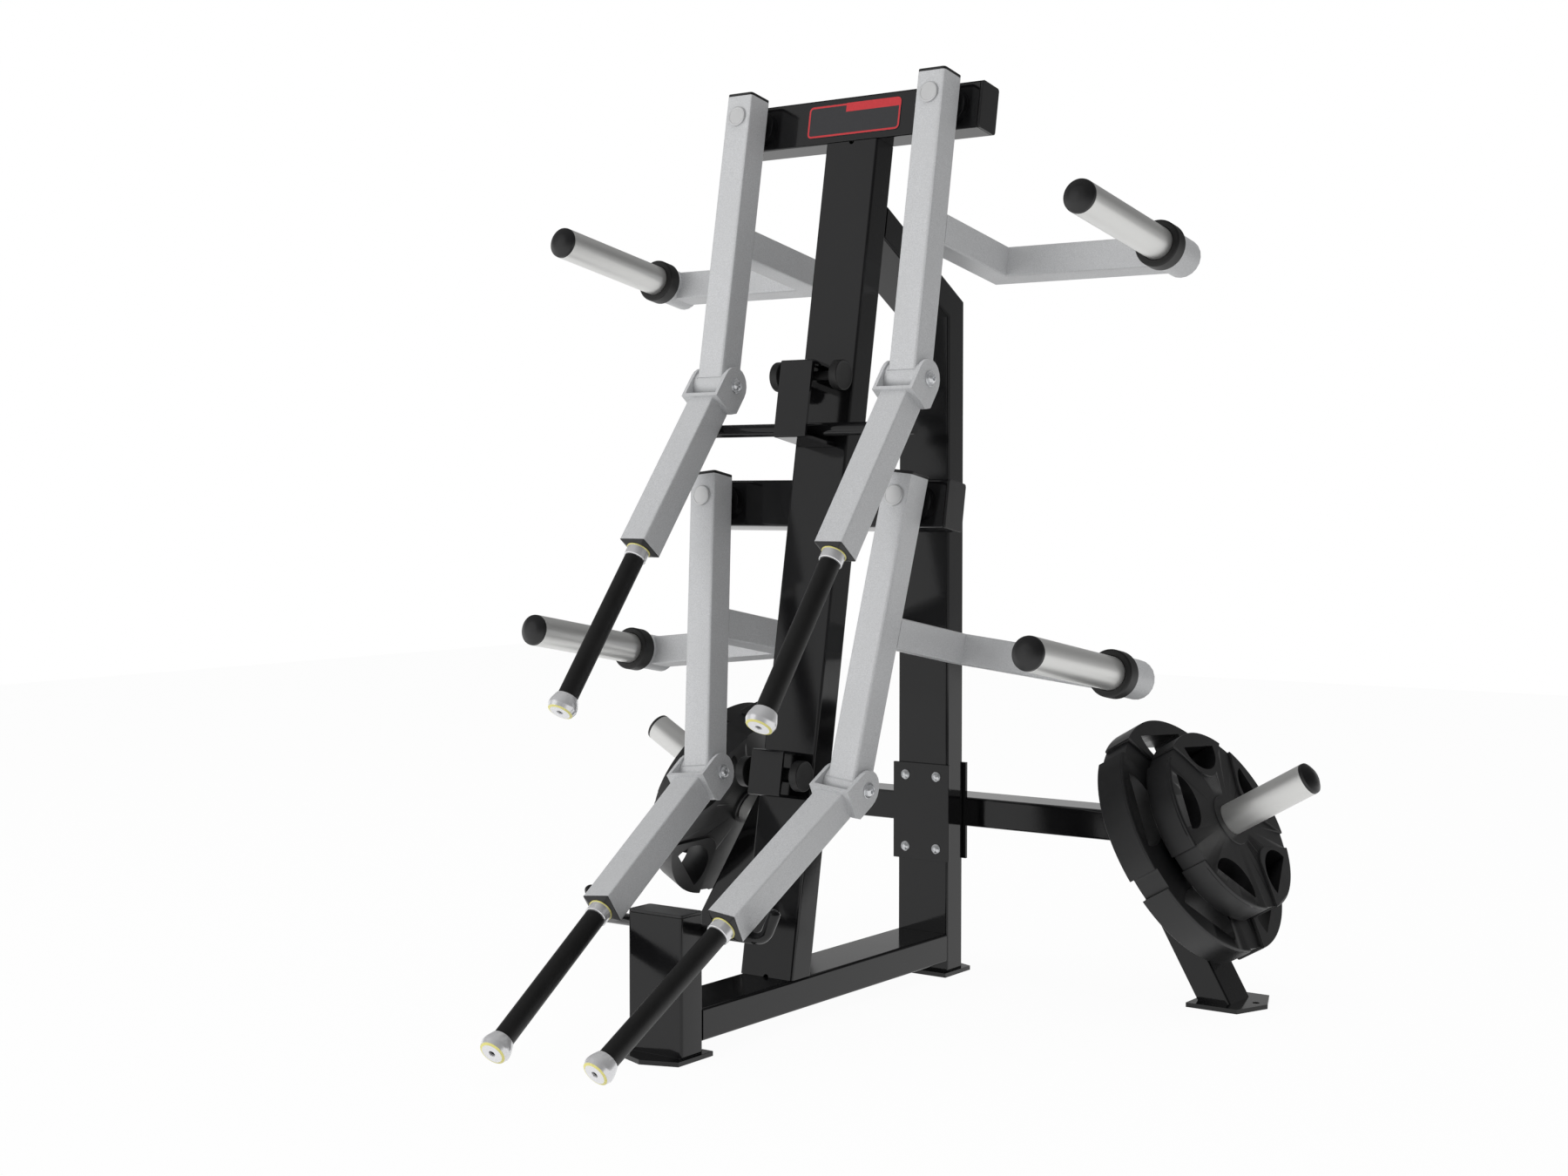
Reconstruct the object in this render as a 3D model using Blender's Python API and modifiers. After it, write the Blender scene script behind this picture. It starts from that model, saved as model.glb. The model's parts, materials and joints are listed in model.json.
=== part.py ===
# Plate-loaded lateral raise and shoulder press machine.
# Metres, +Z up. The user faces the machine from -Y, so +X is on the right of that view,
# and the four handles point forward, towards -Y.
# A long base beam carries a front post, a leaning upright and a rear post. Two crossbeams on
# the upright carry four swinging arms, each with its own plate sleeve and a folding forearm
# that ends in a round grip. Spare plates hang on two horns at the rear corners.

import math

import bmesh
import bpy
from mathutils import Matrix, Vector

# Driving dimensions: where the machine stands.
FOOT_Y = -0.1249          # front face of the upright where it meets the base beam
LEAN = 10.08              # degrees that the upright leans to the rear
GAP = 0.0003              # clearance between pieces that touch
WELD = 0.0015             # how far welded pieces run into each other
EDGE = 0.0015             # small chamfers of turned pieces

# Driving dimensions: steel sections.
MAIN_W = 0.110            # width of base beam, posts, upright and brace
MAIN_D = 0.055            # their depth
MAIN_WALL = 0.003
BASE_H = 0.0535           # height of the base beam
BEAM_H = 0.0835           # height of the two crossbeams
REAR_H = 0.055            # height of the stabiliser
REAR_D = 0.085            # depth of the stabiliser and the two legs
ARM_W = 0.055             # square tube of arms, brackets and forearms
ARM_WALL = 0.003
CORNER_R = 0.005          # outside corner radius of the steel sections

# Driving dimensions: the standing frame.
FOOT_T = 0.008            # steel foot plates
FOOT_HALF = 0.062         # half width of the feet under the posts
FOOT_MARGIN = 0.017       # foot plate before and behind a post
FOOT_POINT = 0.023        # length of the pointed end of those feet
BASE_BOTTOM = 0.0255      # underside of the base beam above the floor
FRONT_POST_Y = 0.298      # front face of the front post, ahead of the upright's foot
FRONT_POST_RISE = 0.0342  # top of the front post with its cap, above the lower rest bar
REAR_POST_Y = 0.498       # front face of the rear post, behind the upright's foot
POST_KNEE_Z = 1.2305      # inner corner where the rear post meets the brace
BRACE_PITCH = 30.0        # degrees that the brace rises towards the upright
CAP_T = 0.005             # plastic end caps
PLUG_DEPTH = 0.014        # how far their plugs reach into a tube
VENT_R = 0.0055           # small drain holes and notches

# Driving dimensions: crossbeams and arm pivots, measured along the leaning upright.
LOWER_BEAM_U = 0.7815     # underside of the lower crossbeam
BEAM_RISE = 0.690         # from there to the underside of the upper one
BEAM_HALF = 0.262         # half length of both crossbeams
LOWER_SETBACK = 0.0152    # how far the lower crossbeam sits behind the upright's front face
PIVOT_X = 0.2033          # arm pivots either side of the middle
PIVOT_GAP = 0.020         # crossbeam front face to the back of the arm
PIN_R = 0.0125
PIN_CAP_R = 0.0178
PIN_CAP_T = 0.004
FLANGE_R = 0.031
FLANGE_STEP_R = 0.022
FLANGE_STEP_W = 0.002     # slope between the flange's two diameters
BUSH_WALL = 0.008

# Driving dimensions: arms and forearms.
ARM_L = 0.490             # arm pivot to elbow pin
ARM_HEAD = 0.044          # arm pivot to the top of the arm's cap
LOWER_SPLAY = 6.0         # degrees that the lower arms hang inwards
UPPER_FLEX = 27.6         # degrees between arm and forearm, upper pair
LOWER_FLEX = 47.9         # the same, lower pair
KNUCKLE_R = 0.0293
KNUCKLE_HALF = 0.0325     # half width of the cross tube at the arm's lower end
ELBOW_PIN_R = 0.008
YOKE_T = 0.0065           # plate of the forearm's yoke
YOKE_R = 0.033            # rounded ears of the yoke
YOKE_REACH = 0.048        # elbow pin to the outer face of the yoke's web
YOKE_CHAMFER = 0.011
FOREARM_END = 0.365       # elbow pin to the outer face of the tube's plug
KNOB_END = 0.697          # elbow pin to the end face of the handle

# Driving dimensions: handles.
FERRULE_R = 0.0198
FERRULE_L = 0.018
GRIP_R = 0.0175
CORE_R = 0.0125           # bar inside the rubber grip
KNOB_R = 0.0252
KNOB_L = 0.030
KNOB_NECK_R = 0.0195
KNOB_TAPER = 0.015
KNOB_EDGE = 0.0055
ELBOW_WASHER_R = 0.0135
ELBOW_WASHER_T = 0.0025
ELBOW_HEAD_R = 0.0095
ELBOW_HEAD_T = 0.0065

# Driving dimensions: loading brackets, in the arm's own frame.
BRACKET_DROP = 0.225      # arm pivot down to the bracket's middle
BRACKET_BACK = 0.2625     # arm's middle back to the middle of the cross run
SLEEVE_OUT = 0.338        # arm pivot out to the loading sleeve
SLEEVE_R = 0.0285
SLEEVE_WALL = 0.003
SLEEVE_REACH = 0.0785      # arm's middle forward to the sleeve's open end
STUB_R = 0.034
STUB_PROUD = 0.003        # stub's rear end behind the bracket
COLLAR_R = 0.0405
COLLAR_L = 0.028
COLLAR_MID = 0.206        # arm's middle back to the middle of the rubber collar
SLEEVE_CAP_T = 0.015
SLEEVE_CAP_EDGE = 0.006   # straight part of the domed cap

# Driving dimensions: stops, rest bars and rear clamp.
UPPER_STOP = (0.0220, 0.0312, 0.095)  # lower end below the rest bar, upper end above the elbow, stand-off
LOWER_STOP = (0.0300, 0.0490, 0.062)  # the same, with the lower end below the elbow
STOP_W = 0.066
STOP_T = 0.005
STOP_CORNER_R = 0.004
LUG_MARGIN = 0.0045       # steel around an axle's hole
BUMPER_R = 0.0262
BUMPER_T = 0.016
UPPER_BUMPER = (0.0117, 0.050, 0.0705)  # above the elbow, stand-off, outer face from the middle
LOWER_BUMPER = (0.0090, 0.036, 0.0640)
AXLE_R = 0.008
LUG_W = 0.030             # lugs that carry the bumpers' axles and the upper rest bar
REST_BAR_R = 0.0115
UPPER_REST_HALF = 0.222
UPPER_REST_SHARE = 0.4724  # upper rest bar's place between the lower arms' caps and the upper elbows
LOWER_REST_R = 0.010
LOWER_REST_HALF = 0.172
LOWER_REST_CLEAR = 0.003  # under the lower forearms' edges, so that they pass over the bar
CLAMP_H = 0.182
CLAMP_W = 0.122
CLAMP_T = 0.006
CLAMP_MID_Z = 0.306
BOLT_X = 0.034
BOLT_Z = 0.068
BOLT_R = 0.006
BOLT_HEAD_R = 0.0082
BOLT_HEAD_T = 0.0068
NUT_R = 0.0098
NUT_T = 0.009
STABILISER_MID_Z = 0.3025

# Driving dimensions: legs, storage horns and plates.
LEG_TILT = 30.0           # degrees that the legs spread outwards
LEG_FOOT_X = 0.599        # outer face of a leg where it meets its foot plate
LEG_FOOT_SIDE = 0.027     # foot plate before and behind a leg
LEG_FOOT_INNER = 0.008    # foot plate on the inner side of a leg
LEG_FOOT_OUTER = 0.025    # straight part of the plate on the outer side
LEG_FOOT_POINT = 0.052    # its pointed end
FLOOR_BOLT_OUT = 0.030    # floor bolt's hole from the leg's outer face
FLOOR_BOLT_R = 0.0065
HORN_RISE = 0.24872       # from the foot plate up to where a horn's axis leaves the outer face of its leg
HORN_L = 0.307
HORN_COLLAR_L = 0.0242
PLATE_PLAY = 0.0005       # between a plate's bore and the horn
PLATE_HUB_R = 0.048
PLATE_CHAMFER = 0.003
GRIPS = 5                 # grip openings
FIRST_GRIP = 4            # degrees between the top of a plate and its first opening
RAISED_OUTSIDE = 3        # openings with a raised surround outside; the others have theirs inside
SURROUND_SPAN = 62        # degrees of the rim that a surround takes up
SURROUND_INSET = 0.010    # a surround stops this far from the plate's other face
# Radius and thickness of each plate, how far its hub stands proud inside and outside, and how far
# its surrounds stand proud of the faces and the rim.
BIG_PLATE = (0.2243, 0.0615, 0.0, 0.002, 0.0055)
SMALL_PLATE = (0.170, 0.055, 0.0017, -0.002, 0.0035)
# Half length, depth and distance from the bore of the grip openings' straight side, and distance
# and radius of the round end of the surrounds.
BIG_GRIP = (0.0705, 0.060, 0.194, 0.169, 0.060)
SMALL_GRIP = (0.0535, 0.045, 0.142, 0.128, 0.045)

# Derived places.
BASE_TOP = BASE_BOTTOM + BASE_H
YOKE_HALF = KNUCKLE_HALF + 0.0005 + YOKE_T
REAR_FACE_Y = FOOT_Y + REAR_POST_Y
POST_MID_Y = REAR_FACE_Y + MAIN_D / 2
REAR_PLATE_Y = REAR_FACE_Y + MAIN_D + GAP
STABILISER_Y = REAR_PLATE_Y + CLAMP_T - WELD + REAR_D / 2
FRONT_FACE_Y = FOOT_Y - FRONT_POST_Y
UPPER_BEAM_U = LOWER_BEAM_U + BEAM_RISE
SIDES = (("left", -1), ("right", 1))
LEVELS = ("upper", "lower")
ALONG_X = Matrix.Rotation(math.pi / 2, 3, "Y")
ALONG_Y = Matrix.Rotation(-math.pi / 2, 3, "X")
ALONG_Z = Matrix.Identity(3)


def clear_scene():
    for thing in list(bpy.data.objects):
        bpy.data.objects.remove(thing, do_unlink=True)


def new_collection(name):
    made = bpy.data.collections.new(name)
    bpy.context.scene.collection.children.link(made)
    return made


clear_scene()
PARTS = new_collection("lateral_raise_press_machine")
CUTTERS = new_collection("cutters")


# Materials

def finish(name, colour, roughness, metallic):
    material = bpy.data.materials.new(name)
    material.use_nodes = True
    shader = material.node_tree.nodes["Principled BSDF"]
    shader.inputs["Base Color"].default_value = (*colour, 1)
    shader.inputs["Roughness"].default_value = roughness
    shader.inputs["Metallic"].default_value = metallic
    material.diffuse_color = (*colour, 1)
    return material


BLACK_PAINT = finish("black_paint", (0.028, 0.028, 0.029), 0.25, 0.0)
SILVER_PAINT = finish("silver_paint", (0.50, 0.50, 0.51), 0.45, 0.35)
BRIGHT_STEEL = finish("bright_steel", (0.62, 0.62, 0.62), 0.25, 1.0)
ALUMINIUM = finish("aluminium", (0.80, 0.80, 0.80), 0.20, 1.0)
BLACK_RUBBER = finish("black_rubber", (0.02, 0.02, 0.02), 0.65, 0.0)
BLACK_PLASTIC = finish("black_plastic", (0.015, 0.015, 0.015), 0.45, 0.0)
PLATE_RUBBER = finish("plate_rubber", (0.018, 0.018, 0.019), 0.5, 0.0)


# Shape helpers. Each makes a mesh in the coordinates of the frame it will be parented to.

def as_piece(name, bm, material, parent=None):
    bmesh.ops.recalc_face_normals(bm, faces=bm.faces)
    mesh = bpy.data.meshes.new(name)
    bm.to_mesh(mesh)
    bm.free()
    mesh.materials.append(material)
    mesh.shade_smooth()
    mesh.set_sharp_from_angle(angle=math.radians(40))
    made = bpy.data.objects.new(name, mesh)
    PARTS.objects.link(made)
    made.parent = parent
    return made


def as_cutter(made):
    """A helper solid: something that a boolean adds or takes away, and no piece of its own."""
    PARTS.objects.unlink(made)
    CUTTERS.objects.link(made)
    made.hide_render = True
    made.display_type = "WIRE"
    return made


def combine(target, tool, operation):
    modifier = target.modifiers.new(operation.lower(), "BOOLEAN")
    modifier.operation = operation
    modifier.solver = "EXACT"
    modifier.object = as_cutter(tool)
    return target


def weld_on(target, *tools):
    for tool in tools:
        combine(target, tool, "UNION")


def cut_out(target, *tools):
    for tool in tools:
        combine(target, tool, "DIFFERENCE")


def block_mesh(low, high, corner=0.0, axis=2):
    """A box between two corners whose four edges along one axis can be rounded."""
    low, high = Vector(low), Vector(high)
    bm = bmesh.new()
    bmesh.ops.create_cube(bm, size=1)
    bmesh.ops.scale(bm, vec=high - low, verts=bm.verts)
    if corner > 0:
        long_edges = [edge for edge in bm.edges
                      if abs((edge.verts[0].co - edge.verts[1].co).normalized()[axis]) > 0.9]
        bmesh.ops.bevel(bm, geom=long_edges, offset=corner, segments=2, affect="EDGES",
                        profile=0.5)
    bmesh.ops.translate(bm, vec=(low + high) / 2, verts=bm.verts)
    return bm


def block(name, low, high, material, parent=None, corner=0.0, axis=2):
    return as_piece(name, block_mesh(low, high, corner, axis), material, parent)


def trim(bm, point, normal, close=True):
    """Cuts a solid with a plane; the side that the normal points to goes."""
    geometry = bm.verts[:] + bm.edges[:] + bm.faces[:]
    bmesh.ops.bisect_plane(bm, geom=geometry, plane_co=point, plane_no=normal,
                           clear_outer=True, dist=1e-7)
    if close:
        plane, outward = Vector(point), Vector(normal).normalized()
        rim = [edge for edge in bm.edges if edge.is_boundary
               and all(abs((vertex.co - plane).dot(outward)) < 1e-5 for vertex in edge.verts)]
        bmesh.ops.holes_fill(bm, edges=rim, sides=0)


def tube_run(name, path, across, size, material, parent=None, corner=0.0, ends=(None, None)):
    """A rectangular bar along a path of straight lines in one plane, with mitred corners.

    across is the direction square to that plane, size the section across and within the plane,
    and ends holds the outward normals of the two end cuts where they are not square."""
    path = [Vector(point) for point in path]
    across = Vector(across)
    runs = [(b - a).normalized() for a, b in zip(path, path[1:])]
    normals = [Vector(ends[0]) if ends[0] else -runs[0]]
    normals += [(a + b).normalized() for a, b in zip(runs, runs[1:])]
    normals += [Vector(ends[1]) if ends[1] else runs[-1]]
    spare = 2 * max(size)
    bm = bmesh.new()
    for index, run in enumerate(runs):
        start, end = path[index], path[index + 1]
        length = (end - start).length + 2 * spare
        piece = block_mesh((-size[0] / 2, -size[1] / 2, -spare), (size[0] / 2, size[1] / 2, length - spare),
                           corner)
        turn = Matrix((across, run.cross(across), run)).transposed().to_4x4()
        bmesh.ops.transform(piece, matrix=Matrix.Translation(start) @ turn, verts=piece.verts)
        first = normals[index] if index == 0 else -normals[index]
        trim(piece, start, first, close=index == 0)
        trim(piece, end, normals[index + 1], close=index == len(runs) - 1)
        step = bpy.data.meshes.new("run")
        piece.to_mesh(step)
        piece.free()
        bm.from_mesh(step)
        bpy.data.meshes.remove(step)
    bmesh.ops.remove_doubles(bm, verts=bm.verts, dist=1e-5)
    return as_piece(name, bm, material, parent)


def rod(name, radius, start, end, along, material, parent=None, segments=24):
    """A round bar from start to end, both given on its axis."""
    start, end = Vector(start), Vector(end)
    bm = bmesh.new()
    bmesh.ops.create_cone(bm, cap_ends=True, segments=segments, radius1=radius, radius2=radius,
                          depth=(end - start).length)
    bmesh.ops.rotate(bm, cent=(0, 0, 0), matrix=along, verts=bm.verts)
    bmesh.ops.translate(bm, vec=(start + end) / 2, verts=bm.verts)
    return as_piece(name, bm, material, parent)


def turned(name, profile, material, parent=None, location=(0, 0, 0), rotation=(0, 0, 0), segments=24):
    """A solid of revolution about its own Z from (radius, height) points, top to bottom.

    A profile whose last point is its first makes a ring."""
    ring = profile[0] == profile[-1]
    mesh = bpy.data.meshes.new(name)
    points = [(radius, 0, height) for radius, height in (profile[:-1] if ring else profile)]
    edges = [(i, i + 1) for i in range(len(points) - 1)]
    if ring:
        edges.append((len(points) - 1, 0))
    mesh.from_pydata(points, edges, [])
    mesh.materials.append(material)
    made = bpy.data.objects.new(name, mesh)
    PARTS.objects.link(made)
    screw = made.modifiers.new("turn", "SCREW")
    screw.axis = "Z"
    screw.steps = segments
    screw.render_steps = segments
    screw.use_merge_vertices = True
    screw.merge_threshold = 0.00002
    screw.use_smooth_shade = True
    made.parent = parent
    made.location = location
    made.rotation_euler = rotation
    return made


def circle(x, y, radius, steps=12):
    return arc((x, y), radius, 0, 360, steps)[:-1]


def arc(centre, radius, start, end, steps):
    """Points of an arc in the XY plane, angles in degrees."""
    angles = [math.radians(start + (end - start) * i / steps) for i in range(steps + 1)]
    return [(centre[0] + radius * math.cos(a), centre[1] + radius * math.sin(a), 0) for a in angles]


def flat_plate(name, outline, thickness, material, parent=None, holes=(), matrix=None):
    """A plate from z = 0 up, from an outline in the XY plane and outlines of its holes."""
    curve = bpy.data.curves.new(name + "_outline", "CURVE")
    curve.dimensions = "2D"
    curve.fill_mode = "BOTH"
    curve.extrude = thickness / 2
    for loop in (outline, *holes):
        spline = curve.splines.new("POLY")
        spline.points.add(len(loop) - 1)
        for point, place in zip(spline.points, loop):
            point.co = (place[0], place[1], 0, 1)
        spline.use_cyclic_u = True
    shaped = bpy.data.objects.new(curve.name, curve)
    PARTS.objects.link(shaped)
    bpy.context.view_layer.update()
    graph = bpy.context.evaluated_depsgraph_get()
    mesh = bpy.data.meshes.new_from_object(shaped.evaluated_get(graph))
    bpy.data.objects.remove(shaped, do_unlink=True)
    bm = bmesh.new()
    bm.from_mesh(mesh)
    bpy.data.meshes.remove(mesh)
    bmesh.ops.remove_doubles(bm, verts=bm.verts, dist=1e-6)
    bmesh.ops.translate(bm, vec=(0, 0, thickness / 2), verts=bm.verts)
    if matrix:
        bmesh.ops.transform(bm, matrix=matrix, verts=bm.verts)
    return as_piece(name, bm, material, parent)


def square_cap(name, half, centre, normal_axis, face, material, parent, wall):
    """A flat cap with a plug inside a rectangular tube; face is where the tube ends."""
    sign = 1 if face > 0 else -1
    plug = [value - wall - GAP for value in half]
    low, high = [0, 0, 0], [0, 0, 0]
    inner_low, inner_high = [0, 0, 0], [0, 0, 0]
    sides = [axis for axis in range(3) if axis != normal_axis]
    for index, axis in enumerate(sides):
        low[axis], high[axis] = centre[axis] - half[index], centre[axis] + half[index]
        inner_low[axis], inner_high[axis] = centre[axis] - plug[index], centre[axis] + plug[index]
    near, far = face + sign * GAP, face + sign * (GAP + CAP_T)
    inside = face - sign * PLUG_DEPTH
    root = near + sign * WELD
    low[normal_axis], high[normal_axis] = min(near, far), max(near, far)
    inner_low[normal_axis], inner_high[normal_axis] = min(inside, root), max(inside, root)
    cap = block(name, low, high, material, parent, CORNER_R, normal_axis)
    weld_on(cap, block(name + "_plug", inner_low, inner_high, material, parent))
    return cap


def empty(name, parent=None, location=(0, 0, 0), rotation=(0, 0, 0)):
    made = bpy.data.objects.new(name, None)
    made.empty_display_size = 0.05
    PARTS.objects.link(made)
    made.parent = parent
    made.location = location
    made.rotation_euler = rotation
    return made


# The leaning frame: X to the right, Y to the rear, Z up along the upright's front face.
LEANING = empty("leaning_frame", None, (0, FOOT_Y, BASE_TOP), (math.radians(-LEAN), 0, 0))


# Places that several groups share

def pivot_height(level):
    """Height of the arm pivots along the upright."""
    return (UPPER_BEAM_U if level == "upper" else LOWER_BEAM_U) + BEAM_H / 2


def beam_setback(level):
    """Crossbeam front face behind the upright's front face."""
    return LOWER_SETBACK if level == "lower" else 0.0


def arm_middle(level):
    """Middle of the arm's tube ahead of the upright's front face."""
    return PIVOT_GAP + ARM_W / 2 - beam_setback(level)


def elbow_flex(level):
    return math.radians(UPPER_FLEX if level == "upper" else LOWER_FLEX)


def arm_splay(level):
    return math.radians(0 if level == "upper" else LOWER_SPLAY)


def elbow_height(level):
    """Height of the elbows along the upright."""
    return pivot_height(level) - ARM_L * math.cos(arm_splay(level))


def upper_rest_height():
    head = pivot_height("lower") + ARM_HEAD
    return head + UPPER_REST_SHARE * (elbow_height("upper") - head)


def upper_rest_stand_off():
    """How far ahead of the upright the upper rest bar touches the forearms."""
    flex = elbow_flex("upper")
    forearm_middle = arm_middle("upper") + (elbow_height("upper") - upper_rest_height()) * math.tan(flex)
    return forearm_middle - (ARM_W / 2 + REST_BAR_R + GAP) / math.cos(flex)


def lower_rest_place():
    """The bar's centre: on the front post's rear face, under the forearms' outer edges."""
    flex = elbow_flex("lower")
    splay = arm_splay("lower")
    lean = math.radians(LEAN)
    up = Vector((0, math.sin(lean), math.cos(lean)))
    ahead = Vector((0, -math.cos(lean), math.sin(lean)))
    down_arm = -up * math.cos(splay) - Vector((1, 0, 0)) * math.sin(splay)
    pivot = Vector((0, FOOT_Y, BASE_TOP)) + up * pivot_height("lower") + ahead * arm_middle("lower")
    along = down_arm * math.cos(flex) + ahead * math.sin(flex)
    front = ahead * math.cos(flex) - down_arm * math.sin(flex)
    outward = Vector((1, 0, 0)) * math.cos(splay) - up * math.sin(splay)
    under = pivot + down_arm * ARM_L - (front - outward) * (ARM_W / 2)
    y = FRONT_FACE_Y + MAIN_D + LOWER_REST_R - WELD
    surface_z = under.z + along.z * (y - under.y) / along.y
    slope = along.z / along.y
    return y, surface_z - (LOWER_REST_R + LOWER_REST_CLEAR) * math.sqrt(1 + slope * slope)


# Base beam, posts and feet

def foot_outline(near, far, point):
    """A foot plate under a post, pointed at its free end."""
    return [(-FOOT_HALF, near), (FOOT_HALF, near), (FOOT_HALF, far), (0, point), (-FOOT_HALF, far)]


def build_base_beam():
    low = (-MAIN_W / 2, FRONT_FACE_Y + MAIN_D + GAP, BASE_BOTTOM)
    high = (MAIN_W / 2, REAR_FACE_Y - GAP, BASE_TOP)
    beam = block("base_beam", low, high, BLACK_PAINT, corner=CORNER_R, axis=1)
    cut_out(beam, block("base_beam_bore", [low[0] + MAIN_WALL, low[1] - 1, low[2] + MAIN_WALL],
                        [high[0] - MAIN_WALL, high[1] + 1, high[2] - MAIN_WALL], BLACK_PAINT))


def build_front_post():
    y, z = lower_rest_place()
    top = z + FRONT_POST_RISE - CAP_T - GAP
    low = (-MAIN_W / 2, FRONT_FACE_Y, FOOT_T - WELD)
    high = (MAIN_W / 2, FRONT_FACE_Y + MAIN_D, top)
    post = block("front_post", low, high, BLACK_PAINT, corner=CORNER_R)
    far = low[1] - FOOT_MARGIN
    outline = foot_outline(high[1] + FOOT_MARGIN, far, far - FOOT_POINT)
    cut_out(post, block("front_post_bore", (low[0] + MAIN_WALL, low[1] + MAIN_WALL, FOOT_T + WELD),
                        (high[0] - MAIN_WALL, high[1] - MAIN_WALL, top + 1), BLACK_PAINT))
    weld_on(post, flat_plate("front_foot", outline, FOOT_T, BLACK_PAINT),
            rod("lower_rest_bar", LOWER_REST_R, (-LOWER_REST_HALF, y, z), (LOWER_REST_HALF, y, z), ALONG_X,
                BLACK_PAINT, segments=16))
    square_cap("front_post_cap", (MAIN_W / 2, MAIN_D / 2), (0, FRONT_FACE_Y + MAIN_D / 2, 0), 2, top,
               BLACK_PLASTIC, None, MAIN_WALL)


def build_rear_post():
    """The rear post, its foot, and the brace that rises from it to the upright."""
    pitch = math.radians(BRACE_PITCH)
    lean = math.radians(LEAN)
    knee = Vector((0, POST_MID_Y, POST_KNEE_Z + MAIN_D / 2 * math.tan((math.pi / 2 - pitch) / 2)))
    along = Vector((0, -math.cos(pitch), math.sin(pitch)))
    rear_normal = Vector((0, math.cos(lean), -math.sin(lean)))
    face = Vector((0, FOOT_Y, BASE_TOP)) + rear_normal * (MAIN_D + GAP)
    end = knee + along * ((face - knee).dot(rear_normal) / along.dot(rear_normal))
    path = [(0, POST_MID_Y, FOOT_T - WELD), knee, end]
    post = tube_run("rear_post", path, (1, 0, 0), (MAIN_W, MAIN_D), BLACK_PAINT, None, CORNER_R,
                    (None, -rear_normal))
    bore = [(0, POST_MID_Y, FOOT_T + WELD), knee, end + along * MAIN_W]
    cut_out(post, tube_run("rear_post_bore", bore, (1, 0, 0), (MAIN_W - 2 * MAIN_WALL, MAIN_D - 2 * MAIN_WALL),
                           BLACK_PAINT))
    low, high = REAR_FACE_Y - FOOT_MARGIN, REAR_FACE_Y + MAIN_D + FOOT_MARGIN
    weld_on(post, flat_plate("rear_foot", foot_outline(low, high, high + FOOT_POINT), FOOT_T, BLACK_PAINT))
    for x, z in bolt_places():
        cut_out(post, rod(f"post_hole_{x}_{z}", BOLT_R + GAP, (x, POST_MID_Y - MAIN_D, z),
                          (x, POST_MID_Y + MAIN_D, z), ALONG_Y, BLACK_PAINT, segments=12))


# Upright, crossbeams and pivots

def build_upright():
    lean = math.radians(LEAN)
    top = UPPER_BEAM_U - GAP
    section = ((-MAIN_W / 2, 0), (MAIN_W / 2, MAIN_D))
    bm = block_mesh((*section[0], -MAIN_W), (*section[1], top), CORNER_R)
    # The foot is cut level, so that it stands flat on the base beam.
    trim(bm, (0, 0, GAP), (0, math.sin(lean), -math.cos(lean)))
    upright = as_piece("upright", bm, BLACK_PAINT, LEANING)
    cut_out(upright, block("upright_bore", (section[0][0] + MAIN_WALL, section[0][1] + MAIN_WALL, -MAIN_W),
                           (section[1][0] - MAIN_WALL, section[1][1] - MAIN_WALL, top + 1),
                           BLACK_PAINT, LEANING))
    for name, side in SIDES:
        add_lower_stub(upright, name, side)
    stand_off = upper_rest_stand_off()
    rest = upper_rest_height()
    add_stop(upright, "upper", rest, UPPER_STOP, UPPER_BUMPER)
    add_stop(upright, "lower", elbow_height("lower"), LOWER_STOP, LOWER_BUMPER)
    weld_on(upright, lug("upper_rest_lug", stand_off, rest, REST_BAR_R - WELD),
            rod("upper_rest_bar", REST_BAR_R, (-UPPER_REST_HALF, -stand_off, rest),
                (UPPER_REST_HALF, -stand_off, rest), ALONG_X, BLACK_PAINT, LEANING, 16))
    for height in (0, top):
        cut_out(upright, rod(f"vent_{height}", VENT_R, (0, -MAIN_WALL, height), (0, 2 * MAIN_WALL, height),
                             ALONG_Y, BLACK_PAINT, LEANING, 12))


def add_lower_stub(upright, name, side):
    """Half of the lower crossbeam, welded to the upright's side, with its pivot flange."""
    base = LOWER_BEAM_U
    near, far = MAIN_W / 2 - WELD, BEAM_HALF - CAP_T - GAP
    y0, y1 = LOWER_SETBACK, LOWER_SETBACK + MAIN_D
    stub = block(f"lower_stub_{name}", (min(side * near, side * far), y0, base),
                 (max(side * near, side * far), y1, base + BEAM_H), BLACK_PAINT, LEANING, CORNER_R, 0)
    near_bore, far_bore = MAIN_W / 2 + WELD, BEAM_HALF + CAP_T
    bore_low, bore_high = sorted((side * near_bore, side * far_bore))
    bore = block(f"lower_stub_bore_{name}", (bore_low, y0 + MAIN_WALL, base + MAIN_WALL),
                 (bore_high, y1 - MAIN_WALL, base + BEAM_H - MAIN_WALL), BLACK_PAINT, LEANING)
    weld_on(upright, stub)
    cut_out(upright, bore)
    weld_on(upright, flange("lower", name, side))
    cut_out(upright, pin_hole("lower", name, side))


def flange(level, name, side):
    """Stepped disc between crossbeam and arm."""
    thickness = PIVOT_GAP - GAP
    step = thickness / 2
    profile = [(0, thickness), (FLANGE_STEP_R, thickness), (FLANGE_STEP_R, step + FLANGE_STEP_W / 2),
               (FLANGE_R, step - FLANGE_STEP_W / 2), (FLANGE_R, -WELD), (0, -WELD)]
    return turned(f"flange_{level}_{name}", profile, BLACK_PAINT, LEANING,
                  (side * PIVOT_X, beam_setback(level), pivot_height(level)), (math.radians(90), 0, 0), 20)


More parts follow.
